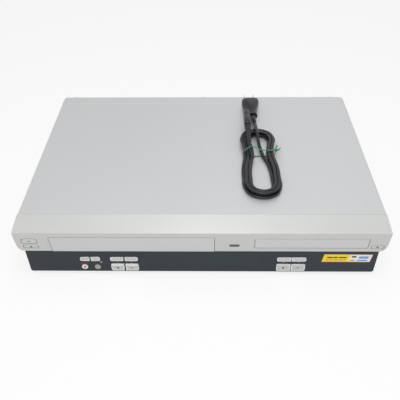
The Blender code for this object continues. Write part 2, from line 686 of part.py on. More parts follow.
def box(x_span, y_span, z_span):
    """A block between two limits on each axis."""
    (x0, x1), (y0, y1) = x_span, y_span
    return prism([(x0, y0), (x1, y0), (x1, y1), (x0, y1)], "Z", z_span)


def centred(middle, half):
    """The two limits that lie half a size either side of a middle."""
    return (middle - half, middle + half)


def grown(span, margin):
    """A span made longer by a margin at both ends."""
    return (span[0] - margin, span[1] + margin)


def arc(u, v, radius, start, end, steps):
    """Points on an arc, from its start angle to its end angle."""
    angles = [start + (end - start) * i / steps for i in range(steps + 1)]
    return [(u + radius * math.cos(a), v + radius * math.sin(a)) for a in angles]


def circle(u, v, radius, sides):
    """Points on a whole circle."""
    return arc(u, v, radius, 0.0, 2 * math.pi, sides)[:-1]


def rod(axis, u, v, radius, span, sides=SMALL_SIDES):
    """A round bar along an axis, about a point in the two other axes."""
    return prism(circle(u, v, radius, sides), axis, span)


def rounded_outline(u_span, v_span, radii):
    """A rectangle with a radius at its lower left, lower right, upper right and upper left."""
    (u0, u1), (v0, v1) = u_span, v_span
    corners = [(u0, v0, 1, 1), (u1, v0, -1, 1), (u1, v1, -1, -1), (u0, v1, 1, -1)]
    points = []
    for i, ((u, v, du, dv), radius) in enumerate(zip(corners, radii)):
        if radius == 0:
            points.append((u, v))
            continue
        start = math.pi + i * math.pi / 2
        points += arc(u + du * radius, v + dv * radius, radius, start, start + math.pi / 2,
                      CORNER_STEPS)
    return points


def turned(profile, x, y, sides=ROUND_SIDES):
    """A solid turned about an upright axis from (radius, height) points, bottom to top."""
    shape = bmesh.new()
    rings = []
    for radius, height in profile:
        if radius == 0:
            rings.append([shape.verts.new((x, y, height))])
        else:
            rings.append([shape.verts.new((u, v, height)) for u, v in circle(x, y, radius, sides)])
    for low, high in zip(rings, rings[1:]):
        for i in range(sides):
            j = (i + 1) % sides
            if len(low) == 1:
                shape.faces.new((low[0], high[i], high[j]))
            elif len(high) == 1:
                shape.faces.new((low[i], low[j], high[0]))
            else:
                shape.faces.new((low[i], low[j], high[j], high[i]))
    for ring, keep in ((rings[0], len(rings[0]) > 1), (rings[-1], len(rings[-1]) > 1)):
        if keep:
            shape.faces.new(ring)
    return finish_bmesh(shape)


def combined(base, others, operation):
    """The exact Boolean of a closed mesh with several others, one after another."""
    target = bpy.data.objects.new("target", base)
    bpy.context.collection.objects.link(target)
    helpers = []
    for mesh in others:
        helper = bpy.data.objects.new("helper", mesh)
        bpy.context.collection.objects.link(helper)
        helpers.append(helper)
        step = target.modifiers.new("step", "BOOLEAN")
        step.operation = operation
        step.solver = "EXACT"
        step.object = helper
    graph = bpy.context.evaluated_depsgraph_get()
    result = bpy.data.meshes.new_from_object(target.evaluated_get(graph))
    for item in [target, *helpers]:
        spent = item.data
        bpy.data.objects.remove(item, do_unlink=True)
        bpy.data.meshes.remove(spent)
    return result


def joined(base, *others):
    """One body made of several that run into each other."""
    return combined(base, others, "UNION")


def cut(base, *cutters):
    """A body less what its cutters take away."""
    return combined(base, cutters, "DIFFERENCE")


def overlap(base, other):
    """What two bodies have in common."""
    return combined(base, [other], "INTERSECT")


def face_back(height):
    """How far the silver face lies behind the crease at a height."""
    share = max(0.0, (CREASE - height) / (CREASE - SILVER_BOTTOM))
    return FACE_SETBACK * share ** FACE_CURVE_SHARE


def face_points(z_span, inset):
    """Points up the silver face, moved back by an inset."""
    heights = [z_span[0] + (z_span[1] - z_span[0]) * i / FACE_STEPS for i in range(FACE_STEPS + 1)]
    return [(FRONT + inset + face_back(z), z) for z in heights]


def face_slab(x_span, z_span, inset, thickness):
    """A slab that follows the silver face."""
    front = face_points(z_span, inset)
    back = [(y + thickness, z) for y, z in reversed(front)]
    return prism(front + back, "X", x_span)


def end_outline(inset, bottom, top):
    """Front view of the silver front's body, whose lower corners curve in."""
    width = END_CURVE_WIDTH - inset
    height = END_CURVE_HEIGHT - inset
    x_middle = CASE_SIDE - END_CURVE_WIDTH
    z_middle = SILVER_BOTTOM + END_CURVE_HEIGHT
    power = 2 / END_CURVE_SHARE
    right = [(x_middle + width, top)]
    for i in range(CURVE_STEPS + 1):
        angle = math.pi / 2 * i / CURVE_STEPS
        right.append((x_middle + width * max(0.0, math.cos(angle)) ** power,
                      z_middle - height * math.sin(angle) ** power))
    if bottom < right[-1][1]:
        right.append((x_middle, bottom))
    return right + [(-x, z) for x, z in reversed(right)]


def key_outline(x_span, z_span, margin):
    """A key on the silver front: square below, with a shallow arch on top."""
    x0, x1 = grown(x_span, margin)
    z0, z1 = grown(z_span, margin)
    middle = (x0 + x1) / 2
    half = (x1 - x0) / 2
    arch = []
    for i in range(CURVE_STEPS + 1):
        share = 1 - 2 * i / CURVE_STEPS
        arch.append((middle + half * share, z1 - KEY_ARCH * share ** 2))
    return [(x0, z0), (x1, z0)] + arch


def fascia_keys():
    """Names and places of the three keys on the silver front."""
    power_left = -CASE_SIDE + POWER_KEY_INSET
    power_x = (power_left, power_left + POWER_KEY_WIDTH)
    open_right = CASE_SIDE - OPEN_KEY_INSET
    open_x = (open_right - OPEN_KEY_WIDTH, open_right)
    power_low = CREASE - POWER_KEY_DROP
    low = CREASE - EJECT_KEY_DROP
    return [("power_button", power_x, (power_low, power_low + POWER_KEY_HEIGHT)),
            ("eject_button", power_x, (low, low + EJECT_KEY_HEIGHT)),
            ("open_close_button", open_x, (low, low + EJECT_KEY_HEIGHT))]


def key_pairs():
    """Names and places of the paired keys on the dark panel."""
    small = (PANEL_BOTTOM + SMALL_KEY_RISE, PANEL_BOTTOM + SMALL_KEY_RISE + SMALL_KEY_HEIGHT)
    big = (PANEL_BOTTOM + BIG_KEY_RISE, PANEL_BOTTOM + BIG_KEY_RISE + BIG_KEY_HEIGHT)
    channel = -PANEL_SIDE + CHANNEL_KEYS_INSET
    tape = -PANEL_SIDE + TAPE_KEYS_INSET
    disc = PANEL_SIDE - DISC_KEYS_INSET - 2 * DISC_KEY_WIDTH - DISC_KEY_SPLIT
    return [
        ("channel_down_button", "channel_up_button", channel, CHANNEL_KEY_WIDTH,
         TAPE_KEY_SPLIT, small),
        ("vcr_rewind_button", "vcr_forward_button", tape, TAPE_KEY_WIDTH, TAPE_KEY_SPLIT, small),
        ("vcr_stop_button", "vcr_play_button", tape, TAPE_KEY_WIDTH, TAPE_KEY_SPLIT, big),
        ("dvd_skip_back_button", "dvd_skip_forward_button", disc, DISC_KEY_WIDTH,
         DISC_KEY_SPLIT, small),
        ("dvd_stop_button", "dvd_play_button", disc, DISC_KEY_WIDTH, DISC_KEY_SPLIT, big),
    ]


def round_keys():
    """Names and middles of the two round keys on the dark panel."""
    first = -PANEL_SIDE + RECORD_KEY_INSET
    height = PANEL_BOTTOM + ROUND_KEY_RISE
    return [("record_button", first, height),
            ("timer_button", first + ROUND_KEY_SPACING, height)]


def switch_places():
    """Where each key's switch sits on the control board, as (x, z)."""
    places = [((xs[0] + xs[1]) / 2, (zs[0] + zs[1]) / 2) for _, xs, zs in fascia_keys()]
    for _, _, left, width, split, zs in key_pairs():
        height = (zs[0] + zs[1]) / 2
        places += [(left + width / 2, height), (left + width * 3 / 2 + split, height)]
    return places + [(x, z) for _, x, z in round_keys()]


def make_fascia():
    """The silver front: face, curved ends and the front strip of the top."""
    section = face_points((SILVER_BOTTOM, CREASE), 0.0)
    section += [(FASCIA_BACK, CASE_TOP), (FASCIA_BACK, SILVER_BOTTOM)]
    body = overlap(prism(section, "X", (-CASE_SIDE, CASE_SIDE)),
                   prism(end_outline(0.0, SILVER_BOTTOM, CASE_TOP + RUN), "Y",
                         (FRONT - RUN, FASCIA_BACK + RUN)))
    hollow = face_points((SILVER_BOTTOM, CREASE - WALL), WALL)
    foot_y = hollow[0][0]
    hollow = [(foot_y, SILVER_BOTTOM - RUN)] + hollow
    hollow += [(FASCIA_BACK + RUN, CASE_TOP - WALL), (FASCIA_BACK + RUN, SILVER_BOTTOM - RUN)]
    inside = overlap(prism(hollow, "X", (-CASE_SIDE, CASE_SIDE)),
                     prism(end_outline(WALL, SILVER_BOTTOM - RUN, CASE_TOP + RUN), "Y",
                           (FRONT - RUN, FASCIA_BACK + RUN + RUN)))
    through = (FRONT - RUN, FRONT + FACE_SETBACK + WALL + RUN)
    door = box((DOOR_LEFT - SLIT, DOOR_RIGHT + SLIT), through,
               (SILVER_BOTTOM - RUN, DOOR_TOP + SLIT))
    lid = box((LID_LEFT - SLIT, LID_RIGHT + SLIT), through, (LID_BOTTOM - SLIT, LID_TOP + SLIT))
    keys = [prism(key_outline(xs, zs, SLIT), "Y", through) for _, xs, zs in fascia_keys()]
    shell = cut(body, inside, door, lid, *keys)
    pin_y = FRONT + face_back(DOOR_PIN_Z) + DOOR_PIN_SETBACK
    ears = []
    holes = []
    for start in (DOOR_LEFT - SLIT - DOOR_EAR_WIDTH, DOOR_RIGHT + SLIT):
        span = (start, start + DOOR_EAR_WIDTH)
        ears.append(box(span, (pin_y, pin_y + DOOR_EAR_DEPTH),
                        centred(DOOR_PIN_Z, DOOR_EAR_HEIGHT / 2)))
        holes.append(rod("X", pin_y, DOOR_PIN_Z, DOOR_PIN_RADIUS + GAP, grown(span, BOND)))
    return place("front_fascia", cut(joined(shell, *ears), *holes), SILVER_PLASTIC)


def make_cassette_door():
    """The long flap, hung from two pins at its upper edge."""
    pin_y = FRONT + face_back(DOOR_PIN_Z) + DOOR_PIN_SETBACK
    slab = face_slab((DOOR_LEFT, DOOR_RIGHT), (DOOR_BOTTOM, DOOR_TOP), 0.0, DOOR_THICKNESS)
    pin = rod("X", pin_y, DOOR_PIN_Z, DOOR_PIN_RADIUS,
              (DOOR_LEFT - DOOR_PIN_LENGTH, DOOR_RIGHT + DOOR_PIN_LENGTH))
    return place("cassette_door", joined(slab, pin), SILVER_PLASTIC,
                 origin=(TAPE_X, pin_y, DOOR_PIN_Z))


def make_fascia_keys():
    """Power, eject and open keys, flush with the silver face."""
    for name, x_span, z_span in fascia_keys():
        flange_y = FRONT + face_back(z_span[0]) + WALL + GAP + GAP
        depth = flange_y + KEY_FLANGE - FRONT
        cap = overlap(prism(key_outline(x_span, z_span, 0.0), "Y", (FRONT - RUN, FRONT + depth)),
                      face_slab(grown(x_span, RUN), grown(z_span, RUN), 0.0, depth))
        middle = ((x_span[0] + x_span[1]) / 2, (z_span[0] + z_span[1]) / 2)
        flange = box(x_span, (flange_y, flange_y + KEY_FLANGE),
                     (z_span[0] + BOND, z_span[1] + KEY_LIP))
        stem = rod("Y", middle[0], middle[1], KEY_STEM_RADIUS, (flange_y, KEY_STEM_END))
        origin = (middle[0], FRONT, middle[1])
        place(name, joined(cap, flange, stem), SILVER_PLASTIC, origin=origin)


def make_panel_key(name, outline, x_span, z_span):
    """A key that stands a little out of the dark panel."""
    flange_y = PANEL_BACK + GAP
    front = PANEL_FACE - KEY_STANDOUT
    middle = ((x_span[0] + x_span[1]) / 2, (z_span[0] + z_span[1]) / 2)
    cap = prism(outline, "Y", (front, flange_y + KEY_FLANGE))
    flange = box(x_span, (flange_y, flange_y + KEY_FLANGE),
                 (middle[1], z_span[1] + KEY_LIP))
    stem = rod("Y", middle[0], middle[1], KEY_STEM_RADIUS, (flange_y, KEY_STEM_END))
    place(name, joined(cap, flange, stem), PALE_PLASTIC, origin=(middle[0], front, middle[1]))


def make_panel_keys():
    """The twelve keys on the dark panel."""
    for left_name, right_name, left, width, split, z_span in key_pairs():
        big, small = KEY_CORNER, KEY_SMALL_CORNER
        left_span = (left, left + width)
        right_span = (left + width + split, left + 2 * width + split)
        make_panel_key(left_name, rounded_outline(left_span, z_span, (big, small, small, big)),
                       left_span, z_span)
        make_panel_key(right_name, rounded_outline(right_span, z_span, (small, big, big, small)),
                       right_span, z_span)
    for name, x, z in round_keys():
        half = ROUND_KEY_RADIUS
        make_panel_key(name, circle(x, z, half, SMALL_SIDES), centred(x, half / 2),
                       centred(z, half))


def make_control_panel():
    """The dark panel with its side returns, bottom lip and key openings."""
    corners = (PANEL_CORNER, PANEL_CORNER, 0.0, 0.0)
    body = prism(rounded_outline((-PANEL_SIDE, PANEL_SIDE), (PANEL_BOTTOM, PANEL_TOP), corners),
                 "Y", (PANEL_FACE, FASCIA_BACK))
    inner = PANEL_SIDE - WALL
    inside = box((-inner, inner), (PANEL_BACK, FASCIA_BACK + RUN),
                 (PANEL_BOTTOM + PANEL_LIP, PANEL_TOP + RUN))
    under = box((-inner, inner), (BOARD_BACK, FASCIA_BACK + RUN),
                (PANEL_BOTTOM - RUN, PANEL_TOP + RUN))
    through = (PANEL_FACE - RUN, PANEL_BACK + RUN)
    openings = []
    for _, _, left, width, split, z_span in key_pairs():
        span = grown((left, left + 2 * width + split), GAP)
        openings.append(prism(rounded_outline(span, grown(z_span, GAP), (KEY_CORNER,) * 4),
                              "Y", through))
    for _, x, z in round_keys():
        openings.append(rod("Y", x, z, ROUND_KEY_RADIUS + GAP, through))
    shell = cut(body, inside, under, *openings)
    flanges = []
    for side in (-1, 1):
        span = sorted((side * (inner + BOND), side * CASE_SIDE))
        flanges.append(box(span, (FASCIA_BACK - WALL, FASCIA_BACK),
                           (FOOT_HEIGHT + COVER_HEM, PANEL_TOP)))
    posts = []
    for share in BOARD_POST_SHARES:
        posts.append(rod("Y", share * PANEL_SIDE, (PANEL_BOTTOM + PANEL_TOP) / 2,
                         BOARD_POST_RADIUS, (PANEL_BACK - BOND, BOARD_FACE - GAP)))
    return place("control_panel", joined(shell, *flanges, *posts), DARK_PLASTIC)


def make_front_board():
    """The control board with its switches and the display tube."""
    side = PANEL_SIDE - WALL - GAP
    bottom = PANEL_BOTTOM + PANEL_LIP + GAP
    body = box((-side, side), (BOARD_FACE, BOARD_BACK), (bottom, PANEL_TOP - RUN))
    parts = []
    for name, x_span, z_span in fascia_keys():
        span = (max(x_span[0], -side), min(x_span[1], side))
        parts.append(box(span, (BOARD_FACE, BOARD_BACK),
                         (PANEL_TOP - RUN - BOND, z_span[1])))
    for x, z in switch_places():
        parts.append(box(centred(x, SWITCH_WIDTH / 2), (SWITCH_FACE, BOARD_FACE + BOND),
                         centred(z, SWITCH_WIDTH / 2)))
    tube_low = PANEL_BOTTOM + DISPLAY_RISE
    parts.append(box(centred(DISPLAY_OFFSET, DISPLAY_WIDTH / 2),
                     (BOARD_FACE - DISPLAY_DEPTH, BOARD_FACE + BOND),
                     (tube_low, tube_low + DISPLAY_HEIGHT)))
    return place("front_board", joined(body, *parts), BOARD_BROWN)


def make_feet():
    """Four rubber feet under the pan, each with a sunk screw hole."""
    top = FOOT_HEIGHT - GAP
    ends = {"front": FRONT + FOOT_END_INSET, "rear": REAR - FOOT_END_INSET}
    for side, sign in (("left", -1), ("right", 1)):
        for end, y in ends.items():
            x = sign * (CASE_SIDE - FOOT_SIDE_INSET)
            profile = [(FOOT_RADIUS - FOOT_TAPER, 0.0), (FOOT_RADIUS, top / 2), (FOOT_RADIUS, top)]
            hole = rod("Z", x, y, FOOT_HOLE_RADIUS, (-RUN, FOOT_HOLE_DEPTH))
            place(f"foot_{end}_{side}", cut(turned(profile, x, y), hole), RUBBER, origin=(x, y, 0.0))


def make_bottom_chassis():
    """The steel pan: a slotted floor, narrow in front, with a flange along each side."""
    narrow = PANEL_SIDE - WALL - GAP
    wide = CASE_SIDE - SHEET - GAP
    front = BOARD_BACK + GAP
    step = FASCIA_BACK + GAP
    back = REAR_PANEL_FRONT - GAP
    corner_x = CASE_SIDE - COVER_CORNER_RADIUS
    corner_y = REAR - COVER_CORNER_RADIUS
    outline = [(-narrow, front), (narrow, front), (narrow, step), (wide, step),
               (wide, corner_y), (corner_x, back), (-corner_x, back), (-wide, corner_y),
               (-wide, step), (-narrow, step)]
    floor = prism(outline, "Z", (FOOT_HEIGHT, FLOOR_TOP))
    flanges = []
    for side in (-1, 1):
        span = sorted((side * (wide - SHEET), side * wide))
        flanges.append(box(span, (step, corner_y), (FOOT_HEIGHT, FLOOR_TOP + PAN_FLANGE_HEIGHT)))
    slots = []
    for middle in (TAPE_X, DISC_X):
        for i in range(PAN_SLOTS):
            x = middle + (i - (PAN_SLOTS - 1) / 2) * PAN_SLOT_PITCH
            slots.append(box(centred(x, PAN_SLOT_WIDTH / 2),
                             centred((step + back) / 2, PAN_SLOT_LENGTH / 2),
                             (FOOT_HEIGHT - RUN, FLOOR_TOP + RUN)))
    return place("bottom_chassis", cut(joined(floor, *flanges), *slots), STEEL)


def cover_block(inset, front, back, bottom):
    """The cover's outer block, drawn in by an inset, with its rounded edges."""
    side = CASE_SIDE - inset
    top = CASE_TOP - inset
    corner = COVER_CORNER_RADIUS - inset
    edge = COVER_EDGE_RADIUS - inset
    plan = rounded_outline((-side, side), (front, back), (0.0, 0.0, corner, corner))
    section = rounded_outline((-side, side), (bottom, top), (0.0, 0.0, edge, edge))
    return overlap(prism(plan, "Z", (bottom, top)), prism(section, "Y", (front - RUN, back + RUN)))


def make_top_cover():
    """The folded steel cover: top, two sides, rounded rear corners and a rear lip."""
    front = FASCIA_BACK + GAP
    bottom = FOOT_HEIGHT + COVER_HEM
    outer = cover_block(0.0, front, REAR, bottom)
    inner = cover_block(SHEET, front - RUN, REAR - SHEET, bottom - RUN)
    rear_side = CASE_SIDE - COVER_CORNER_RADIUS
    rear = box((-rear_side, rear_side), (REAR - SHEET - RUN, REAR + RUN),
               (bottom - RUN, CASE_TOP - COVER_LIP))
    line_y = REAR - COVER_LINE_INSET
    line_side = CASE_SIDE - COVER_EDGE_RADIUS
    line = box((-line_side, line_side), centred(line_y, COVER_LINE_WIDTH / 2),
               (CASE_TOP - COVER_LINE_DEPTH, CASE_TOP + RUN))
    return place("top_cover", cut(outer, inner, rear, line), SILVER_PAINT)


def inlet_middle():
    """Middle of the mains inlet, as (x, z)."""
    return CASE_SIDE - INLET_INSET, FOOT_HEIGHT + INLET_RISE


def jack_spans():
    """Limits of the signal socket block, as spans along X and Z."""
    right = DECK_RIGHT - JACKS_FROM_DECK
    low = FOOT_HEIGHT + JACKS_RISE
    return (right - JACKS_WIDTH, right), (low, low + JACKS_HEIGHT)


def rear_ends():
    """Half the width of the rear, and where the rear panel gives way to the inlet's plate."""
    return CASE_SIDE - COVER_CORNER_RADIUS - GAP, inlet_middle()[0] - INLET_PLATE_SIDE


def make_rear_panel():
    """The flat steel rear panel with its windows and a row of vents."""
    side, split = rear_ends()
    body = box((-side, split - GAP), (REAR_PANEL_FRONT, REAR_PANEL_BACK),
               (FOOT_HEIGHT, CASE_TOP - SHEET - GAP))
    through = (REAR_PANEL_FRONT - RUN, REAR_PANEL_BACK + RUN)
    jack_x, jack_z = jack_spans()
    cuts = [box(grown(jack_x, GAP), through, grown(jack_z, GAP))]
    low = FOOT_HEIGHT + REAR_SLOTS_RISE
    for i in range(REAR_SLOTS):
        x = DISC_X + (i - (REAR_SLOTS - 1) / 2) * REAR_SLOT_PITCH
        cuts.append(box(centred(x, REAR_SLOT_WIDTH / 2), through, (low, low + REAR_SLOT_HEIGHT)))
    return place("rear_panel", cut(body, *cuts), STEEL)


def make_mains_inlet():
    """The mains inlet: a plate at the rear panel's end, with a figure-of-eight well and pins."""
    x, z = inlet_middle()
    half_width = INLET_FLANGE_WIDTH / 2
    half_height = INLET_FLANGE_HEIGHT / 2
    flange_front = REAR_PANEL_BACK + GAP
    mouth = flange_front + INLET_FLANGE_THICKNESS
    flange = box(centred(x, half_width), (flange_front, mouth), centred(z, half_height))
    body = box(centred(x, half_width - INLET_RIM), (mouth - INLET_DEPTH, mouth - BOND),
               centred(z, half_height - INLET_RIM))
    well_outline = arc(x + INLET_WELL_SPREAD, z, INLET_WELL_RADIUS, -math.pi / 2, math.pi / 2,
                       CURVE_STEPS)
    well_outline += arc(x - INLET_WELL_SPREAD, z, INLET_WELL_RADIUS, math.pi / 2,
                        math.pi * 3 / 2, CURVE_STEPS)
    floor_y = mouth - INLET_WELL_DEPTH
    well = prism(well_outline, "Y", (floor_y, mouth + RUN))
    side, split = rear_ends()
    plate = box((split, side), (REAR_PANEL_FRONT, flange_front + BOND),
                (FOOT_HEIGHT, CASE_TOP - COVER_LIP - GAP))
    shell = cut(joined(plate, flange, body), well)
    pins = [rod("Y", x + side * INLET_PIN_SPREAD, z, INLET_PIN_RADIUS,
                (floor_y - BOND, floor_y + INLET_PIN_LENGTH)) for side in (-1, 1)]
    return place("mains_inlet", joined(shell, *pins), BLACK_PLASTIC)


def make_jack_block():
    """The signal sockets: one moulded block with pin sockets and two aerial sockets."""
    (x0, x1), (z0, z1) = jack_spans()
    face = REAR - JACK_FACE_DROP
    tip = REAR + JACK_REACH
    body = box((x0, x1), (face - JACKS_DEPTH, face), (z0, z1))
    barrels = []
    bores = []
    for column in range(JACK_COLUMNS):
        for row in range(JACK_ROWS):
            x = x1 - (column + 1 / 2) * JACK_SPACING
            z = (z0 + z1) / 2 + (row - (JACK_ROWS - 1) / 2) * JACK_SPACING
            barrels.append(rod("Y", x, z, JACK_BARREL_RADIUS, (face - BOND, tip)))
            bores.append(rod("Y", x, z, JACK_BORE_RADIUS, (face, tip + RUN), TINY_SIDES))
    aerial_x = x0 + JACK_SPACING
    for side in (-1, 1):
        z = (z0 + z1) / 2 + side * JACK_SPACING / 2 * 3 / 2
        barrels.append(rod("Y", aerial_x, z, AERIAL_RADIUS, (face - BOND, tip)))
        bores.append(rod("Y", aerial_x, z, AERIAL_BORE_RADIUS, (face, tip + RUN), TINY_SIDES))
    screen_x = aerial_x + 2 * JACK_SPACING
    barrels.append(rod("Y", screen_x, (z0 + z1) / 2, SCREEN_JACK_RADIUS,
                       (face - BOND, face + SCREEN_JACK_REACH)))
    return place("jack_block", cut(joined(body, *barrels), *bores), BLACK_PLASTIC)


def tooth_profile(pitch):
    """One tooth, as (along, out) points from its pitch line."""
    tip = pitch * TOOTH_TIP_SHARE
    root = pitch * TOOTH_ROOT_SHARE
    rise = GEAR_MODULE * TOOTH_RISE_SHARE
    fall = GEAR_MODULE * TOOTH_FALL_SHARE
    return [(-root, -fall), (-tip, rise), (tip, rise), (root, -fall)]


def make_disc_tray():
    """The disc tray: two seats, a slot that is open to the rear, and a rack below."""
    front = FRONT + face_back(LID_BOTTOM) + WALL + GAP
    back = front + TRAY_LENGTH
    plate = box(centred(DISC_X, TRAY_SIDE), (front, back), (TRAY_BOTTOM, TRAY_TOP))
    seat = rod("Z", DISC_X, DISC_Y, DISC_RADIUS + DISC_SEAT_PLAY, (DISC_SEAT_Z, TRAY_TOP + RUN),
               ROUND_SIDES * 2)
    small = rod("Z", DISC_X, DISC_Y, SMALL_DISC_RADIUS + DISC_SEAT_PLAY,
                (DISC_SEAT_Z - SMALL_DISC_STEP, TRAY_TOP), ROUND_SIDES)
    half = TRAY_SLOT_WIDTH / 2
    slot_outline = arc(DISC_X, DISC_Y, half, math.pi, 2 * math.pi, SMALL_SIDES)
    slot_outline += [(DISC_X + half, back + RUN), (DISC_X - half, back + RUN)]
    slot = prism(slot_outline, "Z", (TRAY_BOTTOM - RUN, TRAY_TOP + RUN))
    pocket = box(centred(DISC_X, TRAY_SIDE - TRAY_POCKET_INSET),
                 (front + TRAY_POCKET_INSET, back - TRAY_POCKET_INSET),
                 (TRAY_BOTTOM - RUN, TRAY_BOTTOM + TRAY_POCKET_DEPTH))
    pitch = math.pi * GEAR_MODULE
    line = DISC_X - TRAY_SIDE + RACK_LINE_INSET
    teeth = tooth_profile(pitch)
    first = PINION_Y + pitch / 2 - pitch * RACK_TEETH_BEFORE
    outline = []
    for i in range(RACK_TEETH):
        outline += [(line + out, first + i * pitch + along) for along, out in teeth]
    outline += [(line - RACK_BAR_WIDTH, outline[-1][1]), (line - RACK_BAR_WIDTH, outline[0][1])]
    rack = prism(outline, "Z", (TRAY_BOTTOM - RACK_DROP, TRAY_BOTTOM + BOND))
    body = joined(cut(plate, seat, small, slot, pocket), rack)
    return place("disc_tray", body, BLACK_PLASTIC, origin=(DISC_X, front, TRAY_BOTTOM))


def make_tray_lid(tray):
    """The tray's front, flush with the silver face."""
    slab = face_slab((LID_LEFT, LID_RIGHT), (LID_BOTTOM, LID_TOP), 0.0, WALL)
    return place("tray_lid", slab, SILVER_PLASTIC, parent=tray,
                 origin=(DISC_X, FRONT, LID_BOTTOM))


def make_tray_pinion():
    """The gear that drives the tray's rack, with its larger hub below."""
    top = TRAY_BOTTOM - GAP - GAP
    low = TRAY_BOTTOM - RACK_DROP
    pitch = 2 * math.pi / PINION_TEETH
    outline = []
    for i in range(PINION_TEETH):
        for along, out in tooth_profile(pitch):
            angle = math.pi + i * pitch + along
            radius = PINION_RADIUS + out
            outline.append((PINION_X + radius * math.cos(angle),
                            PINION_Y + radius * math.sin(angle)))
    gear = prism(outline, "Z", (low, top))
    hub = rod("Z", PINION_X, PINION_Y, PINION_RADIUS - 2 * GEAR_MODULE,
              (LOADER_FLOOR_TOP + GAP, low + GEAR_MODULE), PINION_TEETH)
    bore = rod("Z", PINION_X, PINION_Y, ROD_RADIUS + GAP, (LOADER_FLOOR_TOP - RUN, top + RUN))
    return place("tray_pinion", cut(joined(gear, hub), bore), WHITE_PLASTIC,
                 origin=(PINION_X, PINION_Y, low))


def make_loader_frame():
    """The moulded frame that carries the tray, the gear and the drive unit."""
    walls = []
    bottom, top = LOADER_FLOOR_BOTTOM, LOADER_TOP
    length = (LOADER_FRONT, LOADER_BACK)
    floor = box(centred(DISC_X, LOADER_OUTER), length, (bottom, LOADER_FLOOR_TOP))
    window = box(centred(DISC_X, LOADER_WINDOW_WIDTH / 2),
                 (LOADER_FRONT + LOADER_WINDOW_FRONT, LOADER_BACK - LOADER_WINDOW_BACK),
                 (bottom - RUN, LOADER_FLOOR_TOP + RUN))
    for side in (-1, 1):
        wall = sorted((DISC_X + side * LOADER_INNER, DISC_X + side * LOADER_OUTER))
        ledge = sorted((DISC_X + side * (LOADER_INNER - LEDGE_WIDTH),
                        DISC_X + side * (LOADER_INNER + BOND)))
        hook = sorted((DISC_X + side * (LOADER_INNER - HOOK_WIDTH),
                       DISC_X + side * (LOADER_INNER + BOND)))
        walls.append(box(wall, length, (bottom, top)))
        walls.append(box(ledge, length, (TRAY_BOTTOM - GAP - LEDGE_HEIGHT, TRAY_BOTTOM - GAP)))
        for start in (LOADER_FRONT, LOADER_BACK - HOOK_LENGTH):
            walls.append(box(hook, (start, start + HOOK_LENGTH), (TRAY_TOP + GAP, top)))
        for y in (LOADER_FRONT + LOADER_LEG_RADIUS, LOADER_BACK - LOADER_LEG_RADIUS):
            leg_x = DISC_X + side * (LOADER_OUTER - LOADER_LEG_RADIUS)
            walls.append(rod("Z", leg_x, y, LOADER_LEG_RADIUS, (FLOOR_TOP + GAP, bottom + BOND)))
        ear_x = sorted((DISC_X + side * (TRAVERSE_HALF_WIDTH + GAP + GAP + TRAVERSE_EAR_WIDTH),
                        DISC_X + side * (TRAVERSE_HALF_WIDTH + GAP + GAP)))
        walls.append(box(ear_x, centred(DISC_Y + TRAVERSE_HINGE_REACH, TRAVERSE_EAR_LENGTH / 2),
                         (LOADER_FLOOR_BOTTOM, LOADER_FLOOR_BOTTOM + TRAVERSE_EAR_HEIGHT
                          + LOADER_FLOOR_THICKNESS)))
    sill = box(centred(DISC_X, LOADER_INNER + BOND), (LOADER_FRONT, LOADER_FRONT + LOADER_WALL),
               (bottom, LOADER_FLOOR_TOP + FRONT_SILL))
    post = rod("Z", PINION_X, PINION_Y, ROD_RADIUS,
               (LOADER_FLOOR_TOP - BOND, TRAY_BOTTOM - GAP - GAP))
    shaft = rod("Z", PINION_X + TRAY_MOTOR_OFFSET, PINION_Y, TRAY_MOTOR_SHAFT_RADIUS + GAP,
                (bottom - RUN, LOADER_FLOOR_TOP + RUN))
    body = joined(cut(floor, window), *walls, sill, post)
    pin_hole = rod("X", DISC_Y + TRAVERSE_HINGE_REACH, TRAVERSE_HINGE_Z,
                   TRAVERSE_PIN_RADIUS + GAP, centred(DISC_X, TRAVERSE_HALF_WIDTH
                                                      + TRAVERSE_PIN_LENGTH + GAP))
    return place("loader_frame", cut(body, shaft, pin_hole), BLACK_PLASTIC)


def make_tray_motor():
    """The can motor under the loader floor, with its shaft up through the floor."""
    x = PINION_X + TRAY_MOTOR_OFFSET
    top = LOADER_FLOOR_BOTTOM - GAP
    low = top - TRAY_MOTOR_HEIGHT
    profile = [(TRAY_MOTOR_RADIUS - TRAY_MOTOR_EDGE, low),
               (TRAY_MOTOR_RADIUS, low + TRAY_MOTOR_EDGE), (TRAY_MOTOR_RADIUS, top)]
    shaft = rod("Z", x, PINION_Y, TRAY_MOTOR_SHAFT_RADIUS,
                (top - BOND, LOADER_FLOOR_TOP + TRAY_MOTOR_SHAFT_RISE))
    return place("tray_motor", joined(turned(profile, x, PINION_Y), shaft), STEEL)


def make_clamp_bridge():
    """The pressed bridge over the disc, waisted, with a hole for the clamper."""
    reach = LOADER_OUTER
    wide = BRIDGE_HALF_WIDTH
    end = BRIDGE_END_WIDTH
    neck = wide * BRIDGE_NECK_SHARE
    outline = [(-reach, -end), (-neck, -wide), (neck, -wide), (reach, -end),
               (reach, end), (neck, wide), (-neck, wide), (-reach, end)]
    plate = prism([(DISC_X + u, DISC_Y + v) for u, v in outline], "Z",
                  (BRIDGE_BOTTOM, BRIDGE_TOP))
    ribs = [box(centred(DISC_X, neck), centred(DISC_Y + side * (wide - BRIDGE_RIB), BRIDGE_RIB / 2),
                (BRIDGE_TOP - BOND, BRIDGE_TOP + BRIDGE_RIB)) for side in (-1, 1)]
    hole = rod("Z", DISC_X, DISC_Y, CLAMP_HOLE_RADIUS, (BRIDGE_BOTTOM - RUN, BRIDGE_TOP + RUN),
               ROUND_SIDES)
    return place("clamp_bridge", cut(joined(plate, *ribs), hole), STEEL)


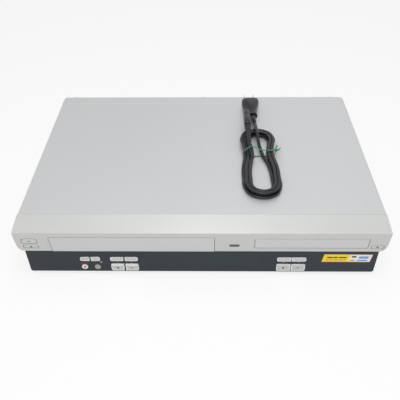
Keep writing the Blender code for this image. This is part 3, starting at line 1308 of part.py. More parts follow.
def make_disc_clamper():
    """The clamper: a pad below the bridge and a cap above it that rests on its rim."""
    bottom = TABLE_TOP + DISC_THICKNESS + CLAMP_REST
    cap_low = BRIDGE_TOP + GAP
    profile = [(CLAMP_PAD_RADIUS, bottom), (CLAMP_PAD_RADIUS, bottom + CLAMP_PAD_THICKNESS),
               (CLAMP_NECK_RADIUS, bottom + CLAMP_PAD_THICKNESS), (CLAMP_NECK_RADIUS, cap_low),
               (CLAMP_CAP_RADIUS, cap_low), (CLAMP_CAP_RADIUS, cap_low + CLAMP_CAP_THICKNESS)]
    dish = rod("Z", DISC_X, DISC_Y, CLAMP_DISH_RADIUS, (bottom - RUN, bottom + CLAMP_DISH_DEPTH))
    return place("disc_clamper", cut(turned(profile, DISC_X, DISC_Y), dish), BLACK_PLASTIC,
                 origin=(DISC_X, DISC_Y, cap_low))


def rod_places():
    """How far each pickup rod lies from the disc's middle, along X."""
    return {"guide_rod_left": DISC_X - ROD_SPREAD, "guide_rod_right": DISC_X + ROD_SPREAD}


def traverse_walls():
    """Spans along Y of the traverse's front and rear walls."""
    front = DISC_Y - TRAVERSE_FRONT_REACH
    rear = DISC_Y + TRAVERSE_REAR_WALL_REACH
    return (front, front + TRAVERSE_WALL), (rear, rear + TRAVERSE_WALL)


def make_traverse():
    """The drive unit's frame, with the spindle motor's can and two hinge pins."""
    hinge_y = DISC_Y + TRAVERSE_HINGE_REACH
    front_wall, rear_wall = traverse_walls()
    plate = box(centred(DISC_X, TRAVERSE_HALF_WIDTH),
                (front_wall[0], DISC_Y + TRAVERSE_BACK_REACH), (TRAVERSE_BOTTOM, TRAVERSE_TOP))
    window = box(centred(DISC_X, SLED_WINDOW_HALF),
                 (DISC_Y + SPINDLE_MOTOR_RADIUS - GAP, rear_wall[0] - TRAVERSE_WALL),
                 (TRAVERSE_BOTTOM - RUN, TRAVERSE_TOP + RUN))
    parts = []
    for span in (front_wall, rear_wall):
        parts.append(box(centred(DISC_X, TRAVERSE_HALF_WIDTH), span,
                         (TRAVERSE_TOP - BOND, TRAVERSE_WALL_TOP)))
    for side in (-1, 1):
        arm = sorted((DISC_X + side * TRAVERSE_HALF_WIDTH,
                      DISC_X + side * (TRAVERSE_HALF_WIDTH - TRAVERSE_ARM_WIDTH)))
        parts.append(box(arm, (DISC_Y + TRAVERSE_BACK_REACH - BOND,
                               hinge_y + TRAVERSE_PIN_RADIUS + GAP),
                         (TRAVERSE_BOTTOM, TRAVERSE_BOTTOM + 2 * TRAVERSE_PIN_RADIUS)))
        pin = sorted((DISC_X + side * (TRAVERSE_HALF_WIDTH - TRAVERSE_ARM_WIDTH / 2),
                      DISC_X + side * (TRAVERSE_HALF_WIDTH + TRAVERSE_PIN_LENGTH - GAP)))
        parts.append(rod("X", hinge_y, TRAVERSE_HINGE_Z, TRAVERSE_PIN_RADIUS, pin))
    motor = rod("Z", DISC_X, DISC_Y, SPINDLE_MOTOR_RADIUS,
                (TRAVERSE_BOTTOM - SPINDLE_MOTOR_DROP, TRAVERSE_TOP + SPINDLE_MOTOR_RISE),
                ROUND_SIDES)
    holes = [rod("Z", DISC_X, DISC_Y, SPINDLE_RADIUS + GAP,
                 (spindle_bottom() - GAP, TABLE_TOP))]
    through = (front_wall[0] - RUN, rear_wall[1] + RUN)
    for x in rod_places().values():
        holes.append(rod("Y", x, ROD_Z, ROD_RADIUS + GAP, through))
    holes.append(rod("Y", DISC_X + ROD_SPREAD + FEED_SCREW_OFFSET, ROD_Z,
                     FEED_TRUNNION_RADIUS + GAP, through))
    body = cut(joined(cut(plate, window), *parts, motor), *holes)
    return place("traverse_frame", body, STEEL, origin=(DISC_X, hinge_y, TRAVERSE_HINGE_Z))


def spindle_bottom():
    """Height of the spindle's lower end."""
    return TABLE_TOP - TABLE_THICKNESS - SPINDLE_LENGTH


def make_turntable(traverse):
    """The turntable with its hub, centring cone and spindle."""
    low = TABLE_TOP - TABLE_THICKNESS
    hub_low = TRAVERSE_TOP + SPINDLE_MOTOR_RISE + GAP
    profile = [(SPINDLE_RADIUS, spindle_bottom()), (SPINDLE_RADIUS, hub_low),
               (TABLE_HUB_RADIUS, hub_low), (TABLE_HUB_RADIUS, low), (TABLE_RADIUS, low),
               (TABLE_RADIUS, TABLE_TOP), (TABLE_CONE_RADIUS, TABLE_TOP),
               (TABLE_CONE_TOP_RADIUS, TABLE_TOP + TABLE_CONE_HEIGHT)]
    return place("spindle_turntable", turned(profile, DISC_X, DISC_Y), BLACK_PLASTIC,
                 origin=(DISC_X, DISC_Y, TABLE_TOP), parent=traverse)


def make_pickup(traverse):
    """The pickup sled on its two rods, with its lens and the finger for the screw."""
    middle = DISC_Y + SPINDLE_MOTOR_RADIUS + SLED_MARGIN + SLED_LENGTH / 2
    span = centred(middle, SLED_LENGTH / 2)
    low, high = ROD_Z - SLED_BELOW_ROD, ROD_Z + SLED_ABOVE_ROD
    body = box(centred(DISC_X, SLED_HALF_WIDTH), span, (low, high))
    parts = [rod("Z", DISC_X, middle - LENS_FORWARD, LENS_RADIUS, (high - BOND, high + LENS_RISE))]
    bores = []
    for x in rod_places().values():
        side = 1 if x > DISC_X else -1
        web = sorted((DISC_X + side * (SLED_HALF_WIDTH - BOND), x))
        parts.append(box(web, centred(middle, SLED_LENGTH / 4), centred(ROD_Z, ROD_RADIUS)))
        parts.append(rod("Y", x, ROD_Z, SLED_BUSH_RADIUS, centred(middle, SLED_LENGTH / 4)))
        bores.append(rod("Y", x, ROD_Z, ROD_RADIUS + GAP, centred(middle, SLED_LENGTH)))
    finger_start = DISC_X + ROD_SPREAD + SLED_BUSH_RADIUS - BOND
    finger_end = DISC_X + ROD_SPREAD + FEED_SCREW_OFFSET - FEED_SCREW_RADIUS - GAP
    parts.append(box((finger_start, finger_end), centred(middle, FEED_FINGER_HALF),
                     centred(ROD_Z, FEED_FINGER_HEIGHT / 2)))
    return place("pickup_sled", cut(joined(body, *parts), *bores), BLACK_PLASTIC,
                 origin=(DISC_X, middle, ROD_Z), parent=traverse)


def make_rods_and_screw(traverse):
    """The two polished pickup rods and the feed screw between the same walls."""
    front_wall, rear_wall = traverse_walls()
    for name, x in rod_places().items():
        place(name, rod("Y", x, ROD_Z, ROD_RADIUS, (front_wall[0], rear_wall[1])), ALUMINIUM,
              origin=(x, front_wall[0], ROD_Z), parent=traverse)
    x = DISC_X + ROD_SPREAD + FEED_SCREW_OFFSET
    body_start = front_wall[1] + GAP
    body_end = rear_wall[0] - GAP
    threads = int((body_end - body_start) / FEED_THREAD_PITCH)
    pitch = (body_end - body_start) / threads
    waist = FEED_SCREW_RADIUS - FEED_THREAD_DEPTH
    profile = [(FEED_TRUNNION_RADIUS, front_wall[0]), (FEED_TRUNNION_RADIUS, body_start)]
    for i in range(threads):
        start = body_start + i * pitch
        profile += [(FEED_SCREW_RADIUS, start), (waist, start + pitch / 2)]
    profile += [(FEED_SCREW_RADIUS, body_end), (FEED_TRUNNION_RADIUS, body_end),
                (FEED_TRUNNION_RADIUS, rear_wall[1])]
    screw = turned(profile, 0.0, 0.0, TINY_SIDES)
    screw.transform(Matrix.Rotation(-math.pi / 2, 4, "X"))
    screw.transform(Matrix.Translation((x, 0.0, ROD_Z)))
    place("feed_screw", screw, STEEL, origin=(x, body_start, ROD_Z), parent=traverse)


def capstan_middle():
    """Where the capstan stands, as (x, y)."""
    return TAPE_X + CAPSTAN_SIDE, DRUM_Y - CAPSTAN_FORWARD


def pinch_places():
    """The pinch arm's pivot and the roller's place at rest, as (x, y) pairs."""
    x, y = capstan_middle()
    nip = (x + CAPSTAN_RADIUS + PINCH_NIP + ROLLER_RADIUS, y)
    pivot = (nip[0] + PINCH_PIVOT_SIDE, nip[1] + PINCH_PIVOT_BACK)
    arm = Vector((nip[0] - pivot[0], nip[1] - pivot[1]))
    turn = Matrix.Rotation(PINCH_SWING, 2)
    rest = Vector(pivot) + turn @ arm
    return pivot, (rest.x, rest.y)


def reel_places():
    """Where the two reel tables stand, as named X values."""
    return {"supply_reel_table": TAPE_X - REEL_SPREAD, "takeup_reel_table": TAPE_X + REEL_SPREAD}


def guide_angles(side):
    """Angles of a guide at rest and at the end of its way round the drum."""
    start = -math.pi / 2 + side * GUIDE_START
    return start, start + side * GUIDE_SWEEP


def ring_sector(middle, half, start, end, steps, span):
    """A curved block about the drum, between two radii and two angles."""
    outer = arc(TAPE_X, DRUM_Y, middle + half, start, end, steps)
    inner = arc(TAPE_X, DRUM_Y, middle - half, end, start, steps)
    return prism(outer + inner, "Z", span)


def make_deck_plate():
    """The pressed deck plate with its legs, posts, bearing, heads and guide slots."""
    plate = box((DECK_LEFT, DECK_RIGHT), (HOLDER_FRONT, DECK_REAR), (DECK_BOTTOM, DECK_TOP))
    parts = []
    for x in (DECK_LEFT + DECK_LEG_INSET, DECK_RIGHT - DECK_LEG_INSET):
        for y in (HOLDER_FRONT + DECK_LEG_INSET, DECK_REAR - DECK_LEG_INSET):
            parts.append(rod("Z", x, y, DECK_LEG_RADIUS, (FLOOR_TOP + GAP, DECK_BOTTOM + BOND)))
    capstan = capstan_middle()
    parts.append(rod("Z", *capstan, BEARING_RADIUS,
                     (capstan_bottom() + ROTOR_RISE + ROTOR_HEIGHT + GAP,
                      DECK_TOP + BEARING_RISE)))
    pivot, _ = pinch_places()
    parts.append(rod("Z", *pivot, PINCH_POST_RADIUS,
                     (DECK_TOP - BOND, DECK_TOP + PINCH_ARM_RISE + PINCH_ARM_THICKNESS + PINCH_POST_END)))
    hub_top = HOLDER_BOTTOM - REEL_HUB_CLEARANCE
    for x in reel_places().values():
        parts.append(rod("Z", x, REEL_Y, REEL_POST_RADIUS, (DECK_TOP - BOND, hub_top)))
    head_top = DECK_TOP + HEAD_BLOCK_HEIGHT
    for x, y in ((TAPE_X + HEAD_BLOCK_SIDE, DRUM_Y - HEAD_BLOCK_FORWARD),
                 (TAPE_X - ERASE_HEAD_SIDE, DRUM_Y - ERASE_HEAD_FORWARD)):
        parts.append(box(centred(x, HEAD_BLOCK_SIZE / 2), centred(y, HEAD_BLOCK_SIZE / 2),
                         (DECK_TOP - BOND, head_top)))
    for side in (-1, 1):
        x = TAPE_X - ERASE_HEAD_SIDE - side * HEAD_BLOCK_SIZE
        parts.append(rod("Z", x, DRUM_Y - ERASE_HEAD_FORWARD, FIXED_POST_RADIUS,
                         (DECK_TOP - BOND, head_top)))
    holes = [rod("Z", *capstan, CAPSTAN_RADIUS + GAP, (FLOOR_TOP, DECK_TOP + 2 * BEARING_RISE))]
    for side in (-1, 1):
        start, end = guide_angles(side)
        holes.append(ring_sector(GUIDE_RADIUS, GUIDE_SLOT_HALF, start - side * GUIDE_SLOT_SPARE,
                                 end + side * GUIDE_SLOT_SPARE, GUIDE_SLOT_STEPS,
                                 (DECK_BOTTOM - RUN, DECK_TOP + RUN)))
    return place("vcr_deck_plate", cut(joined(plate, *parts), *holes), STEEL)


def capstan_bottom():
    """Height of the capstan shaft's lower end."""
    return DECK_TOP - ROTOR_DROP - ROTOR_RISE - ROTOR_HEIGHT / 2


def make_capstan():
    """The capstan shaft with its rotor below the deck."""
    x, y = capstan_middle()
    low = capstan_bottom()
    rotor_low = low + ROTOR_RISE
    rotor_top = rotor_low + ROTOR_HEIGHT
    profile = [(CAPSTAN_RADIUS, low), (CAPSTAN_RADIUS, rotor_low), (ROTOR_RADIUS, rotor_low),
               (ROTOR_RADIUS, rotor_top), (CAPSTAN_RADIUS, rotor_top),
               (CAPSTAN_RADIUS, DECK_TOP + CAPSTAN_RISE)]
    return place("capstan", turned(profile, x, y), STEEL, origin=(x, y, DECK_TOP))


def make_pinch_arm():
    """The arm that swings the roller to the capstan, with the roller's axle."""
    pivot, rest = pinch_places()
    low = DECK_TOP + PINCH_ARM_RISE
    span = (low, low + PINCH_ARM_THICKNESS)
    along = Vector((rest[0] - pivot[0], rest[1] - pivot[1]))
    heading = math.atan2(along.y, along.x)
    half_turn = math.pi / 2
    outline = arc(*rest, PINCH_ARM_RADIUS, heading - half_turn, heading + half_turn, CURVE_STEPS)
    outline += arc(*pivot, PINCH_ARM_RADIUS, heading + half_turn, heading + 3 * half_turn,
                   CURVE_STEPS)
    axle = rod("Z", *rest, ROLLER_AXLE_RADIUS,
               (span[1] - BOND, span[1] + GAP + ROLLER_HEIGHT + GAP))
    hole = rod("Z", *pivot, PINCH_POST_RADIUS + GAP, grown(span, RUN))
    arm = place("pinch_arm", cut(joined(prism(outline, "Z", span), axle), hole), STEEL,
                origin=(*pivot, low))
    low_end = span[1] + GAP
    body = rod("Z", *rest, ROLLER_RADIUS, (low_end, low_end + ROLLER_HEIGHT), ROUND_SIDES)
    bore = rod("Z", *rest, ROLLER_AXLE_RADIUS + GAP, (low_end - RUN, low_end + 2 * ROLLER_HEIGHT))
    place("pinch_roller", cut(body, bore), RUBBER, origin=(*rest, low_end), parent=arm)


def make_reel_tables():
    """The two splined reel tables on their deck posts."""
    low = DECK_TOP + GAP
    top = HOLDER_BOTTOM - REEL_HUB_CLEARANCE
    for name, x in reel_places().items():
        hub_outline = []
        step = 2 * math.pi / REEL_SPLINES
        for i in range(REEL_SPLINES):
            hub_outline += arc(x, REEL_Y, REEL_HUB_RADIUS - REEL_SPLINE_DEPTH, i * step,
                               (i + REEL_GROOVE_SHARE) * step, 2)
            hub_outline += arc(x, REEL_Y, REEL_HUB_RADIUS, (i + REEL_GROOVE_SHARE) * step,
                               (i + 1) * step, 1)
        hub = prism(hub_outline, "Z", (low, top))
        flange = rod("Z", x, REEL_Y, REEL_FLANGE_RADIUS, (low, low + REEL_FLANGE_HEIGHT),
                     ROUND_SIDES)
        bore = rod("Z", x, REEL_Y, REEL_POST_RADIUS + GAP, (low - RUN, top + RUN))
        place(name, cut(joined(flange, hub), bore), WHITE_PLASTIC, origin=(x, REEL_Y, low))


def drum_frame():
    """The tilt that leans the drum towards the front, about its foot."""
    foot = Vector((TAPE_X, DRUM_Y, DECK_TOP + GAP))
    return (Matrix.Translation(foot) @ Matrix.Rotation(DRUM_TILT, 4, "X")
            @ Matrix.Translation(-foot))


def make_drum():
    """The fixed lower drum on its foot and the turning head drum above it."""
    low = DECK_TOP + GAP
    foot = rod("Z", TAPE_X, DRUM_Y, DRUM_FOOT_RADIUS, (low, low + DRUM_FOOT_HEIGHT), ROUND_SIDES)
    stub = rod("Z", TAPE_X, DRUM_Y, DRUM_RADIUS, (low, low + DRUM_BASE_HEIGHT), ROUND_SIDES)
    stub.transform(drum_frame())
    below = box(centred(TAPE_X, 2 * DRUM_RADIUS), centred(DRUM_Y, 2 * DRUM_RADIUS),
                (low - DRUM_HEIGHT, low))
    place("drum_base", cut(joined(foot, stub), below), ALUMINIUM)
    start = low + DRUM_BASE_HEIGHT + DRUM_GAP
    top = start + DRUM_HEIGHT
    profile = [(DRUM_RADIUS, start), (DRUM_RADIUS, top), (DRUM_CAP_RADIUS, top),
               (DRUM_CAP_RADIUS, top + DRUM_CAP_HEIGHT)]
    head = turned(profile, TAPE_X, DRUM_Y)
    head.transform(drum_frame())
    origin = drum_frame() @ Vector((TAPE_X, DRUM_Y, start))
    place("head_drum", head, ALUMINIUM, origin=tuple(origin))


def make_tape_guides():
    """The two guide carriages that draw the tape round the drum."""
    low = DECK_TOP + GAP
    for name, side in (("tape_guide_left", -1), ("tape_guide_right", 1)):
        angle, _ = guide_angles(side)
        x = TAPE_X + GUIDE_RADIUS * math.cos(angle)
        y = DRUM_Y + GUIDE_RADIUS * math.sin(angle)
        base = ring_sector(GUIDE_RADIUS, GUIDE_BASE_HALF, angle - GUIDE_BASE_SPAN,
                           angle + GUIDE_BASE_SPAN, CORNER_STEPS, (low, low + GUIDE_BASE_HEIGHT))
        post_low = low + GUIDE_BASE_HEIGHT - BOND
        top = low + GUIDE_BASE_HEIGHT + GUIDE_POST_HEIGHT
        profile = [(GUIDE_POST_RADIUS, post_low), (GUIDE_POST_RADIUS, top - GUIDE_FLANGE_HEIGHT),
                   (GUIDE_FLANGE_RADIUS, top - GUIDE_FLANGE_HEIGHT), (GUIDE_FLANGE_RADIUS, top)]
        post = turned(profile, x, y, SMALL_SIDES)
        peg = rod("Z", x, y, GUIDE_PEG_RADIUS, (DECK_BOTTOM - GUIDE_PEG_DROP, low + BOND))
        place(name, joined(base, post, peg), STEEL, origin=(TAPE_X, DRUM_Y, low))


def holder_pins():
    """Y places of the holder's front and back pins at rest."""
    return HOLDER_FRONT + HOLDER_PIN_FRONT, HOLDER_FRONT + HOLDER_PIN_BACK


def make_slider():
    """The slider: two side plates with upright slots, tied by a beam over the holder."""
    low = DECK_TOP + SLIDER_FOOT_RISE
    beam_low = HOLDER_TOP + SLIDER_BEAM_GAP
    beam_top = beam_low + SLIDER_BEAM_THICKNESS
    front_pin, back_pin = holder_pins()
    length = (front_pin - SLIDER_END_MARGIN, back_pin + SLIDER_END_MARGIN)
    plates = []
    slots = []
    for side, edge in ((-1, HOLDER_LEFT), (1, HOLDER_RIGHT)):
        span = sorted((edge + side * SLIDER_GAP, edge + side * SLIDER_OFFSET))
        plates.append(box(span, length, (low, beam_top)))
        for y in holder_pins():
            slots.append(box(grown(span, BOND), centred(y, HOLDER_PIN_RADIUS + PIN_PLAY),
                             (HOLDER_PIN_Z - HOLDER_DROP - HOLDER_PIN_RADIUS - PIN_PLAY,
                              HOLDER_PIN_Z + HOLDER_PIN_RADIUS + PIN_PLAY)))
    beam_y = HOLDER_FRONT + SLIDER_BEAM_FORWARD
    beam = box((HOLDER_LEFT - SLIDER_OFFSET, HOLDER_RIGHT + SLIDER_OFFSET),
               (beam_y, beam_y + SLIDER_BEAM_DEPTH), (beam_low, beam_top))
    return place("carriage_slider", cut(joined(beam, *plates), *slots), STEEL,
                 origin=(TAPE_X, beam_y, beam_low))


def make_cassette_holder(slider):
    """The sheet cage that takes the cassette, notched for the reel tables."""
    length = (HOLDER_FRONT, HOLDER_BACK)
    outer = box((HOLDER_LEFT, HOLDER_RIGHT), length, (HOLDER_BOTTOM, HOLDER_TOP))
    inner = box((HOLDER_LEFT + SHEET, HOLDER_RIGHT - SHEET), grown(length, RUN),
                (HOLDER_BOTTOM + SHEET, HOLDER_TOP - SHEET))
    roof = box((HOLDER_LEFT + HOLDER_TOP_WIDTH, HOLDER_RIGHT - HOLDER_TOP_WIDTH),
               (HOLDER_FRONT + HOLDER_STRAP, HOLDER_BACK + RUN),
               (HOLDER_TOP - 2 * SHEET, HOLDER_TOP + RUN))
    notches = []
    for x in reel_places().values():
        notches.append(box(centred(x, REEL_NOTCH_HALF),
                           (REEL_Y - CARRIAGE_TRAVEL - REEL_NOTCH_HALF, HOLDER_BACK + RUN),
                           (HOLDER_BOTTOM - RUN, HOLDER_BOTTOM + 2 * SHEET)))
    shell = cut(outer, inner, roof, *notches)
    pins = []
    for y in holder_pins():
        for side, edge in ((-1, HOLDER_LEFT), (1, HOLDER_RIGHT)):
            span = sorted((edge - side * BOND, edge + side * HOLDER_PIN_LENGTH))
            pins.append(rod("X", y, HOLDER_PIN_Z, HOLDER_PIN_RADIUS, span))
    return place("cassette_holder", joined(shell, *pins), STEEL,
                 origin=(TAPE_X, HOLDER_FRONT, HOLDER_BOTTOM), parent=slider)


def make_carriage_frame():
    """The fixed side brackets, tied by a bar at the back, with windows for the pins."""
    low = DECK_TOP + GAP
    top = HOLDER_TOP + BRACKET_TOP_RISE
    back = HOLDER_BACK + CARRIAGE_TRAVEL + BRACKET_END_MARGIN
    front_pin, back_pin = holder_pins()
    plates = []
    windows = []
    for side, edge in ((-1, HOLDER_LEFT), (1, HOLDER_RIGHT)):
        span = sorted((edge + side * BRACKET_OFFSET, edge + side * (BRACKET_OFFSET
                                                                    + BRACKET_THICKNESS)))
        foot = sorted((edge + side * BRACKET_OFFSET,
                       edge + side * (BRACKET_OFFSET + BRACKET_FLANGE)))
        plates.append(box(span, (HOLDER_FRONT, back), (low, top)))
        plates.append(box(foot, (HOLDER_FRONT, back), (low, low + BRACKET_THICKNESS)))
        reach = HOLDER_PIN_RADIUS + WINDOW_MARGIN
        windows.append(box(grown(span, BOND),
                           (front_pin - reach, back_pin + CARRIAGE_TRAVEL + reach),
                           (HOLDER_PIN_Z - HOLDER_DROP - reach, HOLDER_PIN_Z + reach)))
    bar = box((HOLDER_LEFT - BRACKET_OFFSET - BOND, HOLDER_RIGHT + BRACKET_OFFSET + BOND),
              (back - BRACKET_THICKNESS, back), (top - BRACKET_BAR_HEIGHT, top))
    return place("carriage_frame", cut(joined(bar, *plates), *windows), STEEL)


def make_main_board():
    """The main board behind the deck, with its tuner can, chips and capacitors."""
    low = FLOOR_TOP + MAIN_BOARD_RISE
    top = low + BOARD_THICKNESS
    left, right = -CASE_SIDE + TUNER_INSET + TUNER_INSET, DECK_RIGHT
    front, back = DECK_REAR + BOARD_MARGIN, REAR_PANEL_FRONT - BOARD_MARGIN
    parts = []
    for x in (left + BOARD_POST_INSET, right - BOARD_POST_INSET):
        for y in (front + BOARD_POST_INSET, back - BOARD_POST_INSET):
            parts.append(rod("Z", x, y, BOARD_POST_RADIUS, (FLOOR_TOP + GAP, low + BOND)))
    jacks_front = REAR - JACK_FACE_DROP - JACKS_DEPTH - GAP - GAP
    for share in MAIN_CHIP_SHARES:
        x = left + (right - left) * share
        parts.append(box(centred(x, CHIP_SIZE / 2), (front + GAP, front + CHIP_SIZE),
                         (top - BOND, top + CHIP_HEIGHT)))
    for share in MAIN_CAN_SHARES:
        x = left + (right - left) * share
        parts.append(rod("Z", x, front + CAN_RADIUS + GAP, CAN_RADIUS,
                         (top - BOND, top + CAN_HEIGHT)))
    tuner = (right - TUNER_INSET - TUNER_WIDTH, right - TUNER_INSET)
    parts.append(box(tuner, (front + TUNER_INSET, back - TUNER_INSET),
                     (top - BOND, top + TUNER_HEIGHT)))
    body = box((left, right), (front, back), (low, top))
    (x0, x1), (z0, z1) = jack_spans()
    notch = box((x0 - GAP, x1 + GAP), (jacks_front, back + RUN), (low - RUN, top + RUN))
    return place("main_board", cut(joined(body, *parts), notch), BOARD_GREEN)


def make_power_board():
    """The power board behind the disc loader: transformer, reservoir and heat sink."""
    low = FLOOR_TOP + POWER_BOARD_RISE
    top = low + BOARD_THICKNESS
    left, right = DISC_X - LOADER_OUTER, DISC_X + LOADER_OUTER
    front, back = LOADER_BACK + POWER_BOARD_MARGIN, REAR_PANEL_FRONT - BOARD_MARGIN
    middle_y = (front + back) / 2
    parts = []
    for x in (left + BOARD_POST_INSET, right - BOARD_POST_INSET):
        for y in (front + BOARD_POST_INSET, back - BOARD_POST_INSET):
            parts.append(rod("Z", x, y, BOARD_POST_RADIUS, (FLOOR_TOP + GAP, low + BOND)))
    parts.append(box(centred(DISC_X, TRANSFORMER_WIDTH / 2),
                     centred(middle_y, TRANSFORMER_DEPTH / 2),
                     (top - BOND, top + TRANSFORMER_HEIGHT)))
    parts.append(rod("Z", left + 2 * RESERVOIR_RADIUS, middle_y, RESERVOIR_RADIUS,
                     (top - BOND, top + RESERVOIR_HEIGHT), ROUND_SIDES))
    sink_x = DISC_X + TRANSFORMER_WIDTH / 2 + 2 * HEAT_SINK_THICKNESS
    parts.append(box((sink_x, sink_x + HEAT_SINK_THICKNESS),
                     centred(middle_y, HEAT_SINK_LENGTH / 2),
                     (top - BOND, top + HEAT_SINK_HEIGHT)))
    body = box((left, right), (front, back), (low, top))
    return place("power_board", joined(body, *parts), BOARD_BROWN)


def hank_place(turn, radius):
    """A point on one loop: its share of a turn and its radius at the two ends."""
    half = HANK_RUN_HALF
    bend_share = 1 / 2 - HANK_RUN_SHARE
    if turn < HANK_RUN_SHARE:
        x, y = radius, half - 2 * half * turn / HANK_RUN_SHARE
    elif turn < 1 / 2:
        angle = -math.pi * (turn - HANK_RUN_SHARE) / bend_share
        x, y = radius * math.cos(angle), -half + radius * math.sin(angle)
    elif turn < 1 / 2 + HANK_RUN_SHARE:
        x, y = -radius, -half + 2 * half * (turn - 1 / 2) / HANK_RUN_SHARE
    else:
        angle = math.pi - math.pi * (turn - 1 / 2 - HANK_RUN_SHARE) / bend_share
        x, y = radius * math.cos(angle), half + radius * math.sin(angle)
    away = min(1.0, abs(y - HANK_WAIST_OFFSET) / HANK_WAIST_HALF)
    drawn = HANK_WAIST * (math.cos(math.pi * away) + 1) / 2
    return x - math.copysign(min(drawn, abs(x)), x), y


def free_route(points):
    """A hand-laid route, given from the crease and the lowest loop, in the part's frame."""
    return [(x * MM, FRONT + y * MM, CORD_BASE + z * MM) for x, y, z in points]


def hank_route():
    """The lead from the plug, through its loops, to the connector."""
    points = []
    total = HANK_OUTWARD_TURNS + HANK_INWARD_TURNS
    for i in range(round(total * HANK_POINTS_PER_LOOP) + 1):
        loops = i / HANK_POINTS_PER_LOOP
        steps_out = min(loops, 2 * HANK_OUTWARD_TURNS - loops)
        x, y = hank_place((loops + HANK_START_TURN) % 1.0,
                          HANK_INNER_RADIUS + HANK_STEP * steps_out)
        climbed = (loops - HANK_OUTWARD_TURNS) / HANK_CLIMB_TURNS + 1 / 2
        rise = HANK_LAYER_STEP * min(1.0, max(0.0, climbed))
        points.append((HANK_X + x, FRONT + HANK_SETBACK + y, CORD_BASE + rise))
    return free_route(PLUG_END_POINTS) + points + free_route(CONNECTOR_END_POINTS)


def least_gap(points, reach):
    """Least clear distance between stretches of a cord that are far apart along it."""
    least = math.inf
    places = [Vector(point) for point in points]
    along = [0.0]
    for a, b in zip(places, places[1:]):
        along.append(along[-1] + (b - a).length)
    for i in range(len(places) - 1):
        for j in range(i + 1, len(places) - 1):
            if along[j] - along[i + 1] < reach:
                continue
            least = min(least, segment_distance(places[i], places[i + 1],
                                                places[j], places[j + 1]))
    return least, along[-1]


def segment_distance(a, b, c, d):
    """Distance between two short straight stretches, sampled along both."""
    steps = 4
    best = math.inf
    for i in range(steps + 1):
        p = a.lerp(b, i / steps)
        for j in range(steps + 1):
            best = min(best, (p - c.lerp(d, j / steps)).length)
    return best


def tube(points, radius, resolution):
    """A filled round tube through points, as a mesh."""
    curve = bpy.data.curves.new("route", "CURVE")
    curve.dimensions = "3D"
    curve.bevel_depth = radius
    curve.bevel_resolution = resolution
    curve.use_fill_caps = True
    curve.resolution_u = 1
    spline = curve.splines.new("POLY")
    spline.points.add(len(points) - 1)
    for target, point in zip(spline.points, points):
        target.co = (*point, 1.0)
    item = bpy.data.objects.new("route", curve)
    bpy.context.collection.objects.link(item)
    graph = bpy.context.evaluated_depsgraph_get()
    mesh = bpy.data.meshes.new_from_object(item.evaluated_get(graph))
    bpy.data.objects.remove(item, do_unlink=True)
    bpy.data.curves.remove(curve)
    shape = bmesh.new()
    shape.from_mesh(mesh)
    bmesh.ops.remove_doubles(shape, verts=shape.verts[:], dist=GAP / 10)
    bpy.data.meshes.remove(mesh)
    return finish_bmesh(shape)


def make_hank():
    """The folded lead as one unbroken tube."""
    points = hank_route()
    clear, length = least_gap(points, 4 * CORD_DIAMETER)
    print(f"mains lead: {length / MM:.0f} mm long, least gap {(clear - CORD_DIAMETER) / MM:.2f} mm")
    return place("cord_hank", tube(points, CORD_DIAMETER / 2, CORD_RESOLUTION), RUBBER)


def make_plug():
    """The mains plug: relief, collar, waisted body and two flat blades."""
    relief = rod("Y", 0.0, 0.0, PLUG_RELIEF_RADIUS, (0.0, PLUG_RELIEF_LENGTH + BOND))
    collar_start = PLUG_RELIEF_LENGTH
    collar = rod("Y", 0.0, 0.0, PLUG_COLLAR_RADIUS,
                 (collar_start, collar_start + PLUG_COLLAR_LENGTH))
    start = collar_start + PLUG_COLLAR_LENGTH - BOND
    end = start + PLUG_BODY_LENGTH
    half_plan = [(share * PLUG_BODY_WIDTH / 2, start + along * PLUG_BODY_LENGTH)
                 for share, along in PLUG_PLAN_SHARES]
    plan = half_plan + [(-x, y) for x, y in reversed(half_plan)]
    side = [(start, PLUG_NECK_THICKNESS / 2), (start, -PLUG_NECK_THICKNESS / 2),
            (end - PLUG_BODY_LENGTH / 3, -PLUG_BODY_THICKNESS / 2),
            (end, -PLUG_BODY_THICKNESS / 2), (end, PLUG_BODY_THICKNESS / 2),
            (end - PLUG_BODY_LENGTH / 3, PLUG_BODY_THICKNESS / 2)]
    body = overlap(prism(plan, "Z", centred(0.0, PLUG_BODY_THICKNESS)),
                   prism(side, "X", centred(0.0, PLUG_BODY_WIDTH)))
    blades = [box(centred(x, BLADE_THICKNESS / 2), (end - BOND, end + BLADE_LENGTH),
                  centred(0.0, BLADE_WIDTH / 2)) for x in (-BLADE_SPREAD, BLADE_SPREAD)]
    mesh = joined(body, relief, collar, *blades)
    mesh.transform(Matrix.Rotation(PLUG_TURN, 4, "Z"))
    origin = (PLUG_X, FRONT + PLUG_SETBACK, PLUG_Z)
    mesh.transform(Matrix.Translation(origin))
    return place("mains_plug", mesh, RUBBER, origin=origin)



